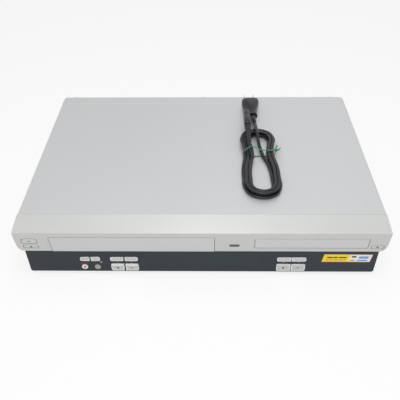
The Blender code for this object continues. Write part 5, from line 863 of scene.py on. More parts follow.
def fitted(piece: bpy.types.Object, node: str, replace: bool = True) -> bpy.types.Object:
    """Make a piece ride with a node's body, and stand for it.

    Args:
        piece: The piece.
        node: The solid whose body it shares.
        replace: Whether it stands in the solid's place.

    Returns:
        The piece.
    """
    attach(piece, BODY_OF[node])
    if replace:
        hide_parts(node)
    LOG.info("%s: %d faces, on %s", piece.name, len(piece.data.polygons), BODY_OF[node])
    return piece


def refined(node: str, finish: Finish, edge: float = 0.0,
            smooth: float = 32.0) -> bpy.types.Object:
    """A solid's own shape with whole faces, smooth rounds, soft edges and its finish.

    Args:
        node: The solid.
        finish: Its finish.
        edge: How far its edges are rounded, in millimetres, or 0.
        smooth: The angle in degrees above which an edge stays sharp.

    Returns:
        The piece, in the solid's place.
    """
    piece = Shape().node(node).done(node + "_dressed", [finish], smooth, inside_out=False)
    if edge:
        softened(piece, edge)
    return fitted(levelled(piece), node)


# Geometry nodes

class Row:
    """A node tree that repeats one piece in an even row, made a plain mesh at the end."""

    TREE = "even_row"

    @classmethod
    def tree(cls) -> bpy.types.NodeTree:
        """Make the tree with its named inputs, or take the one made before.

        Returns:
            The tree.
        """
        if cls.TREE in bpy.data.node_groups:
            return bpy.data.node_groups[cls.TREE]
        tree = bpy.data.node_groups.new(cls.TREE, "GeometryNodeTree")
        face = tree.interface
        face.new_socket("Geometry", in_out="OUTPUT", socket_type="NodeSocketGeometry")
        for name, kind in (("Geometry", "Geometry"), ("Count", "Int"), ("Step", "Vector"),
                           ("Growth", "Float"), ("Finish", "Material")):
            face.new_socket(name, in_out="INPUT", socket_type="NodeSocket" + kind)
        make, link = tree.nodes.new, tree.links.new
        given, line = make("NodeGroupInput"), make("GeometryNodeMeshLine")
        spread, real = make("GeometryNodeInstanceOnPoints"), make("GeometryNodeRealizeInstances")
        dress, result = make("GeometryNodeSetMaterial"), make("NodeGroupOutput")
        index, grow = make("GeometryNodeInputIndex"), make("ShaderNodeMath")
        grow.operation = "MULTIPLY_ADD"
        grow.inputs[2].default_value = 1.0
        link(given.outputs["Count"], line.inputs["Count"])
        link(given.outputs["Step"], line.inputs["Offset"])
        link(line.outputs[0], spread.inputs["Points"])
        link(given.outputs["Geometry"], spread.inputs["Instance"])
        link(index.outputs[0], grow.inputs[0])
        link(given.outputs["Growth"], grow.inputs[1])
        link(grow.outputs[0], spread.inputs["Scale"])
        link(spread.outputs[0], real.inputs[0])
        link(real.outputs[0], dress.inputs["Geometry"])
        link(given.outputs["Finish"], dress.inputs["Material"])
        link(dress.outputs[0], result.inputs[0])
        return tree

    @classmethod
    def of(cls, piece: bpy.types.Object, count: int, step: Point, finish: Finish,
           start: Point = (0.0, 0.0, 0.0), growth: float = 0.0) -> bpy.types.Object:
        """Repeat a piece that is modelled about the origin.

        Args:
            piece: The piece, which becomes the whole row.
            count: How many there are.
            step: From one to the next, in millimetres.
            finish: The finish of all of them.
            start: Where the first stands, in millimetres.
            growth: The share that each is larger than the first, for each step.

        Returns:
            The row as one plain mesh.
        """
        tree = cls.tree()
        row = piece.modifiers.new("row", "NODES")
        row.node_group = tree
        values = {"Count": count, "Step": [s * MM for s in step], "Growth": growth,
                  "Finish": finish.material()}
        for item in tree.interface.items_tree:
            if item.in_out == "INPUT" and item.name in values:
                row[item.identifier] = values[item.name]
        plain(piece)
        piece.data.transform(shift(start))
        return piece


# The studio

@dataclass
class Studio:
    """Camera, soft lights, pale floor and white surroundings."""
    eye: Point = (8.288, -568.0, 488.151)
    right: Point = (0.99987399, 0.01260098, -0.00965483)
    up: Point = (-0.00100905, 0.65741707, 0.75352623)
    ahead: Point = (-0.01584242, 0.75342154, -0.65734694)
    lens: float = 46.8
    sensor: float = 36.0
    near: float = 0.01
    ambient: float = 0.5
    floor_half: float = 4000.0
    floor_span: Span = (-12.0, -0.05)
    floor_tone: Colour = (0.92, 0.92, 0.92)
    floor_glow: float = 0.8
    lamps: Sequence[tuple] = (
        ("overhead", (0.02, -0.38, 0.85), (0.0, -0.03, 0.08), 0.6, 3.7),
        ("sheen", (0.0, 0.22, 1.2), (0.0, -0.14, 0.08), 0.3, 1.05),
        ("front", (-0.35, -1.5, 0.75), (0.0, -0.1, 0.05), 1.0, 2.6),
        ("rear", (0.5, 1.6, 1.1), (0.0, 0.0, 0.05), 1.0, 1.0))

    def build(self) -> None:
        """Set up everything that isn't part of the player."""
        scene = bpy.context.scene
        scene.view_settings.view_transform = "Standard"
        camera = bpy.data.objects.new("camera", bpy.data.cameras.new("camera"))
        camera.data.lens = self.lens
        camera.data.sensor_width = self.sensor
        camera.data.clip_start = self.near
        turn = Matrix((self.right, self.up, [-a for a in self.ahead])).transposed()
        camera.matrix_world = shift(self.eye) @ turn.to_4x4()
        bpy.context.collection.objects.link(camera)
        scene.camera = camera
        for name, place, target, size, energy in self.lamps:
            self.lamp(name, Vector(place), Vector(target), size, energy)
        self.world(scene)
        self.floor()

    def lamp(self, name: str, place: Vector, target: Vector, size: float,
             energy: float) -> None:
        """Add one square soft light.

        Args:
            name: The light's name.
            place: Where it hangs, in metres.
            target: What it points at.
            size: Its side.
            energy: Its power in watts.
        """
        data = bpy.data.lights.new(name, "AREA")
        data.shape = "SQUARE"
        data.size = size
        data.energy = energy
        item = bpy.data.objects.new(name, data)
        item.matrix_world = (Matrix.Translation(place)
                             @ (place - target).to_track_quat("Z", "Y").to_matrix().to_4x4())
        bpy.context.collection.objects.link(item)

    def seen(self, nodes: Nodes) -> Wire:
        """Tell the rays that show the surroundings: seen, mirrored or through glass.

        Args:
            nodes: The tree.

        Returns:
            1 for those rays, else 0.
        """
        path = nodes.add("ShaderNodeLightPath", output="Is Camera Ray")
        outs = path.socket.node.outputs
        mirrored, through = (Wire(nodes, outs[name])
                             for name in ("Is Glossy Ray", "Is Transmission Ray"))
        return path + mirrored + through > 0.5

    def world(self, scene: bpy.types.Scene) -> None:
        """White surroundings that light the player at a plain level.

        Args:
            scene: The scene that they are for.
        """
        scene.world = bpy.data.worlds.new("surroundings")
        scene.world.use_nodes = True
        nodes = Nodes(scene.world.node_tree)
        seen = self.seen(nodes)
        level = seen * (1.0 - self.ambient) + self.ambient
        light = nodes.add("ShaderNodeBackground", inputs={"Color": (1.0, 1.0, 1.0),
                                                          "Strength": level})
        nodes.add("ShaderNodeOutputWorld", inputs={"Surface": light})

    def floor(self) -> None:
        """A pale floor that melts into the surroundings and keeps the shadow."""
        sides = (-self.floor_half, self.floor_half)
        floor = Shape().prism(box(sides, sides), Axis.Z, self.floor_span).done("floor", [])
        made = bpy.data.materials.new("pale_floor")
        made.use_nodes = True
        nodes = Nodes(made.node_tree)
        matt = nodes.add("ShaderNodeBsdfDiffuse", inputs={"Color": self.floor_tone})
        glow = nodes.add("ShaderNodeEmission", inputs={"Color": (1.0, 1.0, 1.0),
                                                       "Strength": 1.0})
        mixed = nodes.add("ShaderNodeMixShader", inputs={0: self.seen(nodes) * self.floor_glow,
                                                         1: matt, 2: glow})
        nodes.add("ShaderNodeOutputMaterial", inputs={"Surface": mixed})
        floor.data.materials.append(made)


# The mains lead

@dataclass
class MainsLead:
    """The mains lead: a tied hank with a two-blade plug and a figure-of-eight connector."""
    diameter: float = 3.6
    core_radius: float = 1.4
    core_side: float = 0.82
    base: float = 82.0
    hank_x: float = 75.2
    hank_setback: float = 123.5
    inner: float = 12.2
    step: float = 4.4
    layer: float = 4.2
    half: float = 47.0
    waist: float = 4.6
    waist_half: float = 40.0
    waist_offset: float = 16.5
    out_turns: float = 2.5
    in_turns: float = 2.0
    per_loop: int = 24
    run_share: float = 1 / 3
    plug_place: Point = (73.0, 62.2, 87.3)
    plug_turn: float = math.radians(3.0)
    hole_reach: float = 65.4
    hole_radius: float = 1.55
    blade_offset: float = 6.35
    blade_half: float = 0.75
    blade_outline: Sequence[Span] = (
        (52.2, -3.15), (61.0, -3.15), (67.8, -3.15), (69.6, -1.4), (69.6, 1.4), (67.8, 3.15),
        (61.0, 3.15), (52.2, 3.15), (52.2, 0.0))
    plug_relief: Sequence[Span] = (
        (2.2, -6.0), (2.7, -5.4), (3.1, 3.0), (3.4, 9.0), (3.7, 12.4))
    plug_collar: Sequence[Span] = (
        (3.4, 11.8), (5.8, 11.9), (6.5, 12.5), (6.5, 14.3), (5.9, 15.0), (4.4, 15.2))
    plug_grip: Sequence[Point] = (
        (0.0, 4.7, 4.2, 2.2), (0.1, 4.8, 4.4, 2.3), (0.22, 5.4, 5.2, 2.4),
        (0.34, 6.4, 6.1, 2.5), (0.46, 7.7, 6.9, 2.7), (0.58, 9.4, 7.5, 2.9),
        (0.7, 11.1, 7.9, 3.2), (0.8, 12.2, 8.0, 3.5), (0.9, 12.5, 8.0, 3.7),
        (0.96, 12.3, 7.9, 3.7), (1.0, 11.5, 7.2, 3.4))
    grip_start: float = 14.6
    grip_length: float = 38.0
    connector_relief: Sequence[Span] = (
        (2.0, -0.9), (2.3, 0.0), (2.6, 14.0), (3.1, 28.0), (3.6, 38.4))
    connector_body: Sequence[Point] = (
        (0.0, 3.9, 4.6, 2.2), (0.03, 4.4, 5.6, 2.4), (0.1, 4.7, 6.5, 2.8),
        (0.3, 4.8, 6.8, 3.2), (0.55, 4.75, 6.7, 3.2), (0.6, 4.45, 6.4, 3.0),
        (0.64, 4.45, 6.4, 3.0), (0.68, 4.6, 6.6, 3.0), (0.94, 4.6, 6.6, 2.9),
        (1.0, 4.2, 6.2, 2.8))
    body_start: float = 38.0
    body_length: float = 34.0
    contact_profile: Sequence[Span] = ((1.35, 71.7), (1.35, 72.08))
    contact_rise: float = 3.2
    rib_profile: Sequence[Span] = ((2.2, 0.0), (2.75, 0.25), (2.75, 2.1), (2.2, 2.4))
    ribs: int = 7
    rib_start: float = 1.6
    rib_step: float = 5.2
    rib_growth: float = 0.085
    connector_place: Point = (62.4, -0.8, 95.1)
    plug_end: Sequence[Point] = (
        (73.02, 213.7, 5.3), (73.22, 209.8, 5.3), (73.5, 203.0, 7.0), (73.8, 195.0, 8.9),
        (74.0, 186.0, 9.3), (74.6, 176.0, 8.6), (75.3, 166.0, 6.0), (76.6, 156.0, 3.0),
        (78.6, 146.0, 0.9), (80.6, 136.0, 0.1))
    connector_end: Sequence[Point] = (
        (65.6, 128.0, 4.8), (65.6, 133.0, 6.6), (65.2, 138.0, 9.0), (64.2, 143.0, 11.4),
        (62.4, 147.0, 13.1), (62.4, 150.7, 13.1))
    tie: Sequence[Point] = (
        (99.5, 152.5, 6.6), (98.2, 147.6, 7.0), (97.0, 143.6, 7.2), (95.0, 141.4, 7.2),
        (92.0, 141.0, 6.9), (84.0, 140.8, 6.9), (75.0, 140.6, 8.6), (70.0, 140.5, 11.8),
        (65.2, 140.4, 13.2), (61.0, 140.2, 11.6), (57.0, 140.1, 8.4), (54.4, 140.0, 5.2),
        (53.7, 139.9, 1.0), (54.6, 139.9, -1.9), (56.8, 140.0, -2.4), (75.0, 140.0, -2.4),
        (92.5, 140.2, -2.4), (94.8, 140.3, -1.8), (95.8, 140.4, 0.4), (96.0, 140.5, 3.5),
        (97.4, 141.0, 5.2), (100.6, 143.4, 5.4), (103.5, 149.0, 4.8))
    tie_half: float = 1.05
    tie_thin: float = 0.3
    tie_knot: Sequence[Point] = ((94.6, 141.0, 6.6), (96.2, 141.3, 6.4), (98.0, 142.0, 6.0),
                                 (99.8, 143.4, 5.8))

    def loop_place(self, turn: float, radius: float) -> tuple[float, float]:
        """A point on one loop of the hank.

        Args:
            turn: The share of a turn.
            radius: The loop's radius at the hank's two ends.

        Returns:
            Its place about the hank's middle, in millimetres.
        """
        half, run = self.half, self.run_share
        bend = 0.5 - run
        if turn < run:
            x, y = radius, half - 2 * half * turn / run
        elif turn < 0.5:
            angle = -math.pi * (turn - run) / bend
            x, y = radius * math.cos(angle), -half + radius * math.sin(angle)
        elif turn < 0.5 + run:
            x, y = -radius, -half + 2 * half * (turn - 0.5) / run
        else:
            angle = math.pi - math.pi * (turn - 0.5 - run) / bend
            x, y = radius * math.cos(angle), half + radius * math.sin(angle)
        away = min(1.0, abs(y - self.waist_offset) / self.waist_half)
        drawn = self.waist * (math.cos(math.pi * away) + 1) / 2
        return x - math.copysign(min(drawn, abs(x)), x), y

    def free(self, points: Sequence[Point]) -> list[Vector]:
        """A given stretch, from its places behind the crease and over the lowest loop."""
        return [Vector((x, FRONT + y, self.base + z)) * MM for x, y, z in points]

    def route(self) -> list[Vector]:
        """The lead's line from the plug, through its loops, to the connector.

        Returns:
            Its points, in metres.
        """
        points = []
        total = self.out_turns + self.in_turns
        for i in range(round(total * self.per_loop) + 1):
            loops = i / self.per_loop
            out = min(loops, 2 * self.out_turns - loops)
            x, y = self.loop_place((loops + 1 / 6) % 1.0, self.inner + self.step * out)
            rise = self.layer * min(1.0, max(0.0, (loops - self.out_turns) * 6 + 0.5))
            points.append(Vector((self.hank_x + x, FRONT + self.hank_setback + y,
                                  self.base + rise)) * MM)
        return self.free(self.plug_end) + points + self.free(self.connector_end)

    @staticmethod
    def eased(points: Sequence[Vector], parts: int = 3) -> list[Vector]:
        """A smooth line through points.

        Args:
            points: The points.
            parts: How many parts each stretch is cut in.

        Returns:
            The line's points.
        """
        fine = []
        last = len(points) - 1
        for i in range(last):
            a, b = points[max(i - 1, 0)], points[i]
            c, d = points[i + 1], points[min(i + 2, last)]
            for k in range(parts):
                t = k / parts
                fine.append(0.5 * ((2 * b) + (c - a) * t + (2 * a - 5 * b + 4 * c - d) * t * t
                                   + (3 * b - a - 3 * c + d) * t ** 3))
        return fine + [points[-1].copy()]

    def twin_section(self) -> list[tuple[float, float]]:
        """The lead's section: two sheathed cores side by side, with a groove between them.

        Returns:
            Its points, in metres.
        """
        reach = math.pi - math.acos(self.core_side / self.core_radius)
        lobe = [(self.core_side + self.core_radius * math.cos(angle),
                 self.core_radius * math.sin(angle))
                for angle in (reach * (k / 4 - 1) for k in range(9))]
        return [(u * MM, v * MM) for u, v in lobe] + [(-u * MM, -v * MM) for u, v in lobe[1:-1]]

    def hank(self) -> tuple[bpy.types.Object, list[Vector]]:
        """The folded lead as one smooth tube.

        Returns:
            The piece and the line that it follows.
        """
        line = self.eased(self.route(), 4)
        section = self.twin_section()
        shape = Shape().tube(line, lambda i: section)
        return fitted(shape.done("lead_hank", [CORD_FINISH], 50.0), "cord_hank"), line

    def moulding(self, shape: Shape, rows: Sequence[Point], start: float,
                 length: float) -> None:
        """Skin a body of box sections along Y.

        Args:
            shape: The piece that it belongs to.
            rows: The share of the length, half sizes and power of each section.
            start: Where the first section is, in millimetres.
            length: How long the body is.
        """
        shape.rings([[Axis.Y.point(u, v, start + length * share) for u, v in
                      oval(half, tall, power)] for share, half, tall, power in rows])

    def plug(self) -> bpy.types.Object:
        """The moulded plug: tapered relief, collar, waisted grip and two drilled blades.

        Returns:
            The piece.
        """
        shape = Shape().lathe(self.plug_relief, Axis.Y, (0, 0), 28)
        shape.lathe(self.plug_collar, Axis.Y, (0, 0), 36)
        self.moulding(shape, self.plug_grip, self.grip_start, self.grip_length)
        shape.use(1)
        corners = self.blade_outline
        edge = [Vector(a).lerp(Vector(b), k / 3) for a, b in
                zip(corners, corners[1:] + corners[:1]) for k in range(3)]
        hole = Vector((self.hole_reach, 0.0))
        bore = [hole + (point - hole).normalized() * self.hole_radius for point in edge]
        half = self.blade_half
        for x in (-self.blade_offset, self.blade_offset):
            shape.rings([[Vector((x + side, y, z)) * MM for y, z in outline]
                         for outline, side in ((edge, -half), (edge, half), (bore, half),
                                               (bore, -half))], around=True)
        turn = Matrix.Rotation(self.plug_turn, 4, "Z")
        shape.moved(shift(self.plug_place) @ turn)
        piece = shape.done("lead_plug", [PLUG_FINISH, PIN_FINISH], 38.0)
        return fitted(plain(softened(piece, 0.25)), "mains_plug")

    def connector(self) -> list[bpy.types.Object]:
        """The figure-of-eight connector and the ribs of its tapered relief.

        Returns:
            The two pieces.
        """
        shape = Shape().lathe(self.connector_relief, Axis.Y, (0, 0), 28)
        self.moulding(shape, self.connector_body, self.body_start, self.body_length)
        shape.use(1)
        for z in (-self.contact_rise, self.contact_rise):
            shape.lathe(self.contact_profile, Axis.Y, (0, z), 20)
        shape.moved(shift(self.connector_place))
        body = fitted(shape.done("lead_connector", [PLUG_FINISH, INK_FINISH], 40.0),
                      "cord_connector")
        rib = Shape().lathe(self.rib_profile, Axis.Y, (0, 0), 24)
        rib = rib.done("lead_connector_ribs", [PLUG_FINISH], 40.0)
        x, y, z = self.connector_place
        Row.of(rib, self.ribs, (0.0, self.rib_step, 0.0), PLUG_FINISH,
               (x, y + self.rib_start, z), self.rib_growth)
        return [body, fitted(rib, "cord_connector", replace=False)]

    def twist_tie(self) -> bpy.types.Object:
        """The flat film tie round the hank's waist, with its twisted tails.

        Returns:
            The piece.
        """
        line = self.eased(self.free(self.tie), 4)
        wide, thin = self.tie_half * MM, self.tie_thin * MM
        strip = [(wide, thin * 0.4), (wide * 0.5, thin), (-wide * 0.5, thin), (-wide, thin * 0.4),
                 (-wide, -thin * 0.4), (-wide * 0.5, -thin), (wide * 0.5, -thin),
                 (wide, -thin * 0.4)]
        middle = len(line) * 5 // 8
        shape = Shape()
        for stretch in (line[middle::-1], line[middle:]):
            shape.tube(stretch, lambda i: strip, Vector((0.0, 1.0, 0.0)))
        knot = self.eased(self.free(self.tie_knot), 8)
        last = len(knot) - 1

        def twisted(i: int) -> list[tuple[float, float]]:
            """The knot's flat section, turned as it goes and thinner at both ends.

            Args:
                i: The number of the point on the knot's line.

            Returns:
                The section's points, in metres.
            """
            turn = Matrix.Rotation(i / last * 3 * math.pi, 2)
            swell = 0.55 + 0.45 * math.sin(math.pi * i / last)
            return [tuple(turn @ Vector((u, v)) * swell * MM) for u, v in oval(1.7, 0.85, 2.2, 12)]

        shape.tube(knot, twisted)
        return fitted(shape.done("lead_tie", [TIE_FINISH], 30.0), "twist_tie")

    def build(self) -> None:
        hank, line = self.hank()
        plug = self.plug()
        others = self.connector()
        tie = self.twist_tie()


# Fasteners

@dataclass
class Screws:
    """Pan-head screws with a cross, in rows on the case."""
    radius: float = 2.9
    height: float = 1.3
    slot_half: float = 0.42
    panel_setback: float = 1.1

    def head(self, name: str, facing: Matrix) -> bpy.types.Object:
        """One screw head about the origin.

        Args:
            name: Its name.
            facing: The turn that it gets after it is made facing +Z.

        Returns:
            The piece.
        """
        r, h = self.radius, self.height
        shape = Shape().lathe([(r, -0.2), (r, h * 0.35), (r * 0.9, h * 0.7), (r * 0.6, h * 0.95),
                               (r * 0.52, h), (r * 0.5, h * 0.55), (r * 0.1, h * 0.35)],
                              Axis.Z, (0, 0), 20)
        for arm in ((r * 0.5, self.slot_half), (self.slot_half, r * 0.5)):
            shape.prism(rounded((-arm[0], arm[0]), (-arm[1], arm[1]), (0.1,) * 4, 1), Axis.Z,
                        (h * 0.3, h * 0.62))
        return shape.moved(facing).done(name, [SCREW_FINISH], 35.0)

    def row(self, name: str, node: str, facing: Matrix, start: Point, count: int,
            step: Point) -> None:
        """Lay one row of screws.

        Args:
            name: The row's name.
            node: The solid that they are in.
            facing: The turn that points them out of it.
            start: Where the first is, in millimetres.
            count: How many there are.
            step: From one to the next.
        """
        head = self.head(name, facing)
        Row.of(head, count, step, SCREW_FINISH, start)
        fitted(head, node, replace=False)

    def build(self) -> None:
        """Screws in the rear lip, the rear panel, the two sides and the pan."""
        back = Matrix.Rotation(-math.pi / 2, 4, "X")
        right = Matrix.Rotation(math.pi / 2, 4, "Y")
        left = Matrix.Rotation(-math.pi / 2, 4, "Y")
        down = Matrix.Rotation(math.pi, 4, "X")
        wall = REAR - self.panel_setback
        along, across, below = (0.0, 150.0, 0.0), (196.0, 0.0, 0.0), (120.0, 0.0, 0.0)
        for row in (
                ("screws_lip", "top_cover", back, (-196.0, REAR, 76.4), 3, across),
                ("screws_rear", "rear_panel", back, (-198.0, wall, 11.5), 4, (108.0, 0.0, 0.0)),
                ("screws_jacks", "rear_panel", back, (-146.0, wall, 68.0), 2, (112.0, 0.0, 0.0)),
                ("screws_right", "top_cover", right, (CASE_SIDE, -70.0, 16.0), 2, along),
                ("screws_left", "top_cover", left, (-CASE_SIDE, -70.0, 16.0), 2, along),
                ("screws_pan_front", "bottom_chassis", down, (-180.0, -62.0, 6.0), 4, below),
                ("screws_pan_rear", "bottom_chassis", down, (-180.0, 62.0, 6.0), 4, below)):
            self.row(*row)


# The case

@dataclass
class Casing:
    """Steel cover and pan, silver front, rear panel and the four feet."""
    foot_radius: float = 12.0
    foot_height: float = 5.7
    foot_side: float = 170.0
    foot_front: float = -117.8
    foot_rear: float = 108.8

    def feet(self) -> None:
        """Rubber feet with a rounded tread and a sunk screw hole."""
        r, h = self.foot_radius, self.foot_height
        profile = [(3.5, 3.0), (3.5, 0.6), (3.9, 0.1), (5.0, 0.0), (r - 2.4, 0.0),
                   (r - 1.2, 0.35), (r - 0.4, 1.4), (r, 3.0), (r, h - 0.4), (r - 0.4, h)]
        for side, x in (("left", -self.foot_side), ("right", self.foot_side)):
            for end, y in (("front", self.foot_front), ("rear", self.foot_rear)):
                shape = Shape().lathe(profile, Axis.Z, (x, y), 48)
                shape.lathe([(r - 3.1, -0.0), (r - 3.1, 0.02), (r - 4.4, 0.02), (r - 4.4, 0.0)],
                            Axis.Z, (x, y), 48, around=True)
                node = f"foot_{end}_{side}"
                fitted(shape.done(node + "_rubber", [RUBBER_FINISH], 40.0), node)

    def build(self) -> None:
        """Dress the outer case."""
        refined("top_cover", COVER_FINISH, 0.3, 40.0)
        refined("front_fascia", SILVER_FINISH, 0.25, 30.0)
        refined("bottom_chassis", STEEL_FINISH)
        refined("rear_panel", STEEL_FINISH, 0.12)
        self.feet()
        Screws().build()


# Doors and face keys

class Mark(Enum):
    """The plain signs that keys carry."""
    STOP = "stop"
    PLAY = "play"
    EJECT = "eject"
    POWER = "power"
    BACK = "back"
    AHEAD = "ahead"
    LAST = "last"
    NEXT = "next"


@dataclass
class FaceMarks:
    """Signs printed on a face, as thin ink."""
    thickness: float = 0.06

    def outlines(self, mark: Mark, x: float, z: float, size: float) -> list[list]:
        """The sign's outlines about (x, z), in millimetres.

        Args:
            mark: Which sign.
            x: Its middle from left to right.
            z: Its middle in height.
            size: Half its width.

        Returns:
            One outline for each of its parts.
        """
        s = size
        if mark is Mark.STOP:
            return [box((x - s, x + s), (z - s, z + s))]
        if mark is Mark.PLAY:
            return [[(x - s * 0.9, z - s), (x + s * 1.1, z), (x - s * 0.9, z + s)]]
        if mark in (Mark.BACK, Mark.AHEAD, Mark.LAST, Mark.NEXT):
            way = -1 if mark in (Mark.BACK, Mark.LAST) else 1
            heads = [[(x + way * (start - s), z - s), (x + way * start, z),
                      (x + way * (start - s), z + s)] for start in (0.0, s)]
            stop = box((x + way * (s + 0.1), x + way * (s + 0.45)), (z - s, z + s))
            return heads + ([stop] if mark in (Mark.LAST, Mark.NEXT) else [])
        if mark is Mark.EJECT:
            return [[(x - s, z - s * 0.2), (x + s, z - s * 0.2), (x, z + s)],
                    box((x - s, x + s), (z - s, z - s * 0.5))]
        ring = []
        for reach, turns in ((s, range(13)), (s * 0.72, range(12, -1, -1))):
            for i in turns:
                angle = math.radians(125 + 290 * i / 12)
                ring.append((x + reach * math.cos(angle), z + reach * math.sin(angle)))
        return [ring, box((x - s * 0.14, x + s * 0.14), (z + s * 0.1, z + s * 1.1))]

    def add(self, shape: Shape, outlines: Sequence[list], face: Callable[[float], float],
            finish: int) -> None:
        """Lay outlines on a face.

        Args:
            shape: The piece that carries them.
            outlines: The outlines, in millimetres.
            face: Gives the face's place from front to back at a height.
            finish: Which of the piece's finishes the ink is.
        """
        shape.use(finish)
        for outline in outlines:
            shape.rings([[Vector((x, face(z) + depth, z)) * MM for x, z in outline]
                         for depth in (-self.thickness, SIGN_FOOT)])


def silver_face(height: float) -> float:
    """Where the silver face stands at a height, in millimetres."""
    share = max(0.0, (CREASE - height) / (CREASE - SILVER_BOTTOM))
    return FRONT + FACE_SETBACK * share ** FACE_POWER


@dataclass
class Doors:
    """The cassette flap, the disc tray's lid and the three keys on the silver front."""
    sign_half: float = 1.5
    marks: FaceMarks = field(default_factory=FaceMarks)

    def key(self, node: str, mark: Mark, x: float, z: float, size: float) -> None:
        """Dress one key on the silver front.

        Args:
            node: The key's solid.
            mark: Its sign.
            x: The sign's middle from left to right.
            z: The sign's middle in height.
            size: Half the sign's width.
        """
        key = Shape().node(node).done(node + "_dressed", [SILVER_FINISH], 30.0, False)
        fitted(levelled(softened(key, 0.25)), node)
        ink = Shape()
        self.marks.add(ink, self.marks.outlines(mark, x, z, size), silver_face, 0)
        fitted(ink.done(node + "_sign", [INK_FINISH]), node, replace=False)

    def build(self) -> None:
        """Dress the doors and the face keys."""
        for node in ("cassette_door", "tray_lid"):
            refined(node, DOOR_FINISH, 0.3, 30.0)
        for name, mark, x, z in (("power", Mark.POWER, -198.2, 60.4),
                                 ("eject", Mark.EJECT, -198.2, 50.4),
                                 ("open_close", Mark.EJECT, 203.8, 51.0)):
            self.key(name + "_button", mark, x, z, self.sign_half)
        block = Shape()
        outline = rounded((32.8, 44.3), (51.2, 55.6), (0.4,) * 4, 2)
        self.marks.add(block, [outline], silver_face, 0)
        fitted(block.done("plain_dark_block", [BLOCK_FINISH]), "front_fascia", replace=False)


# The front panel

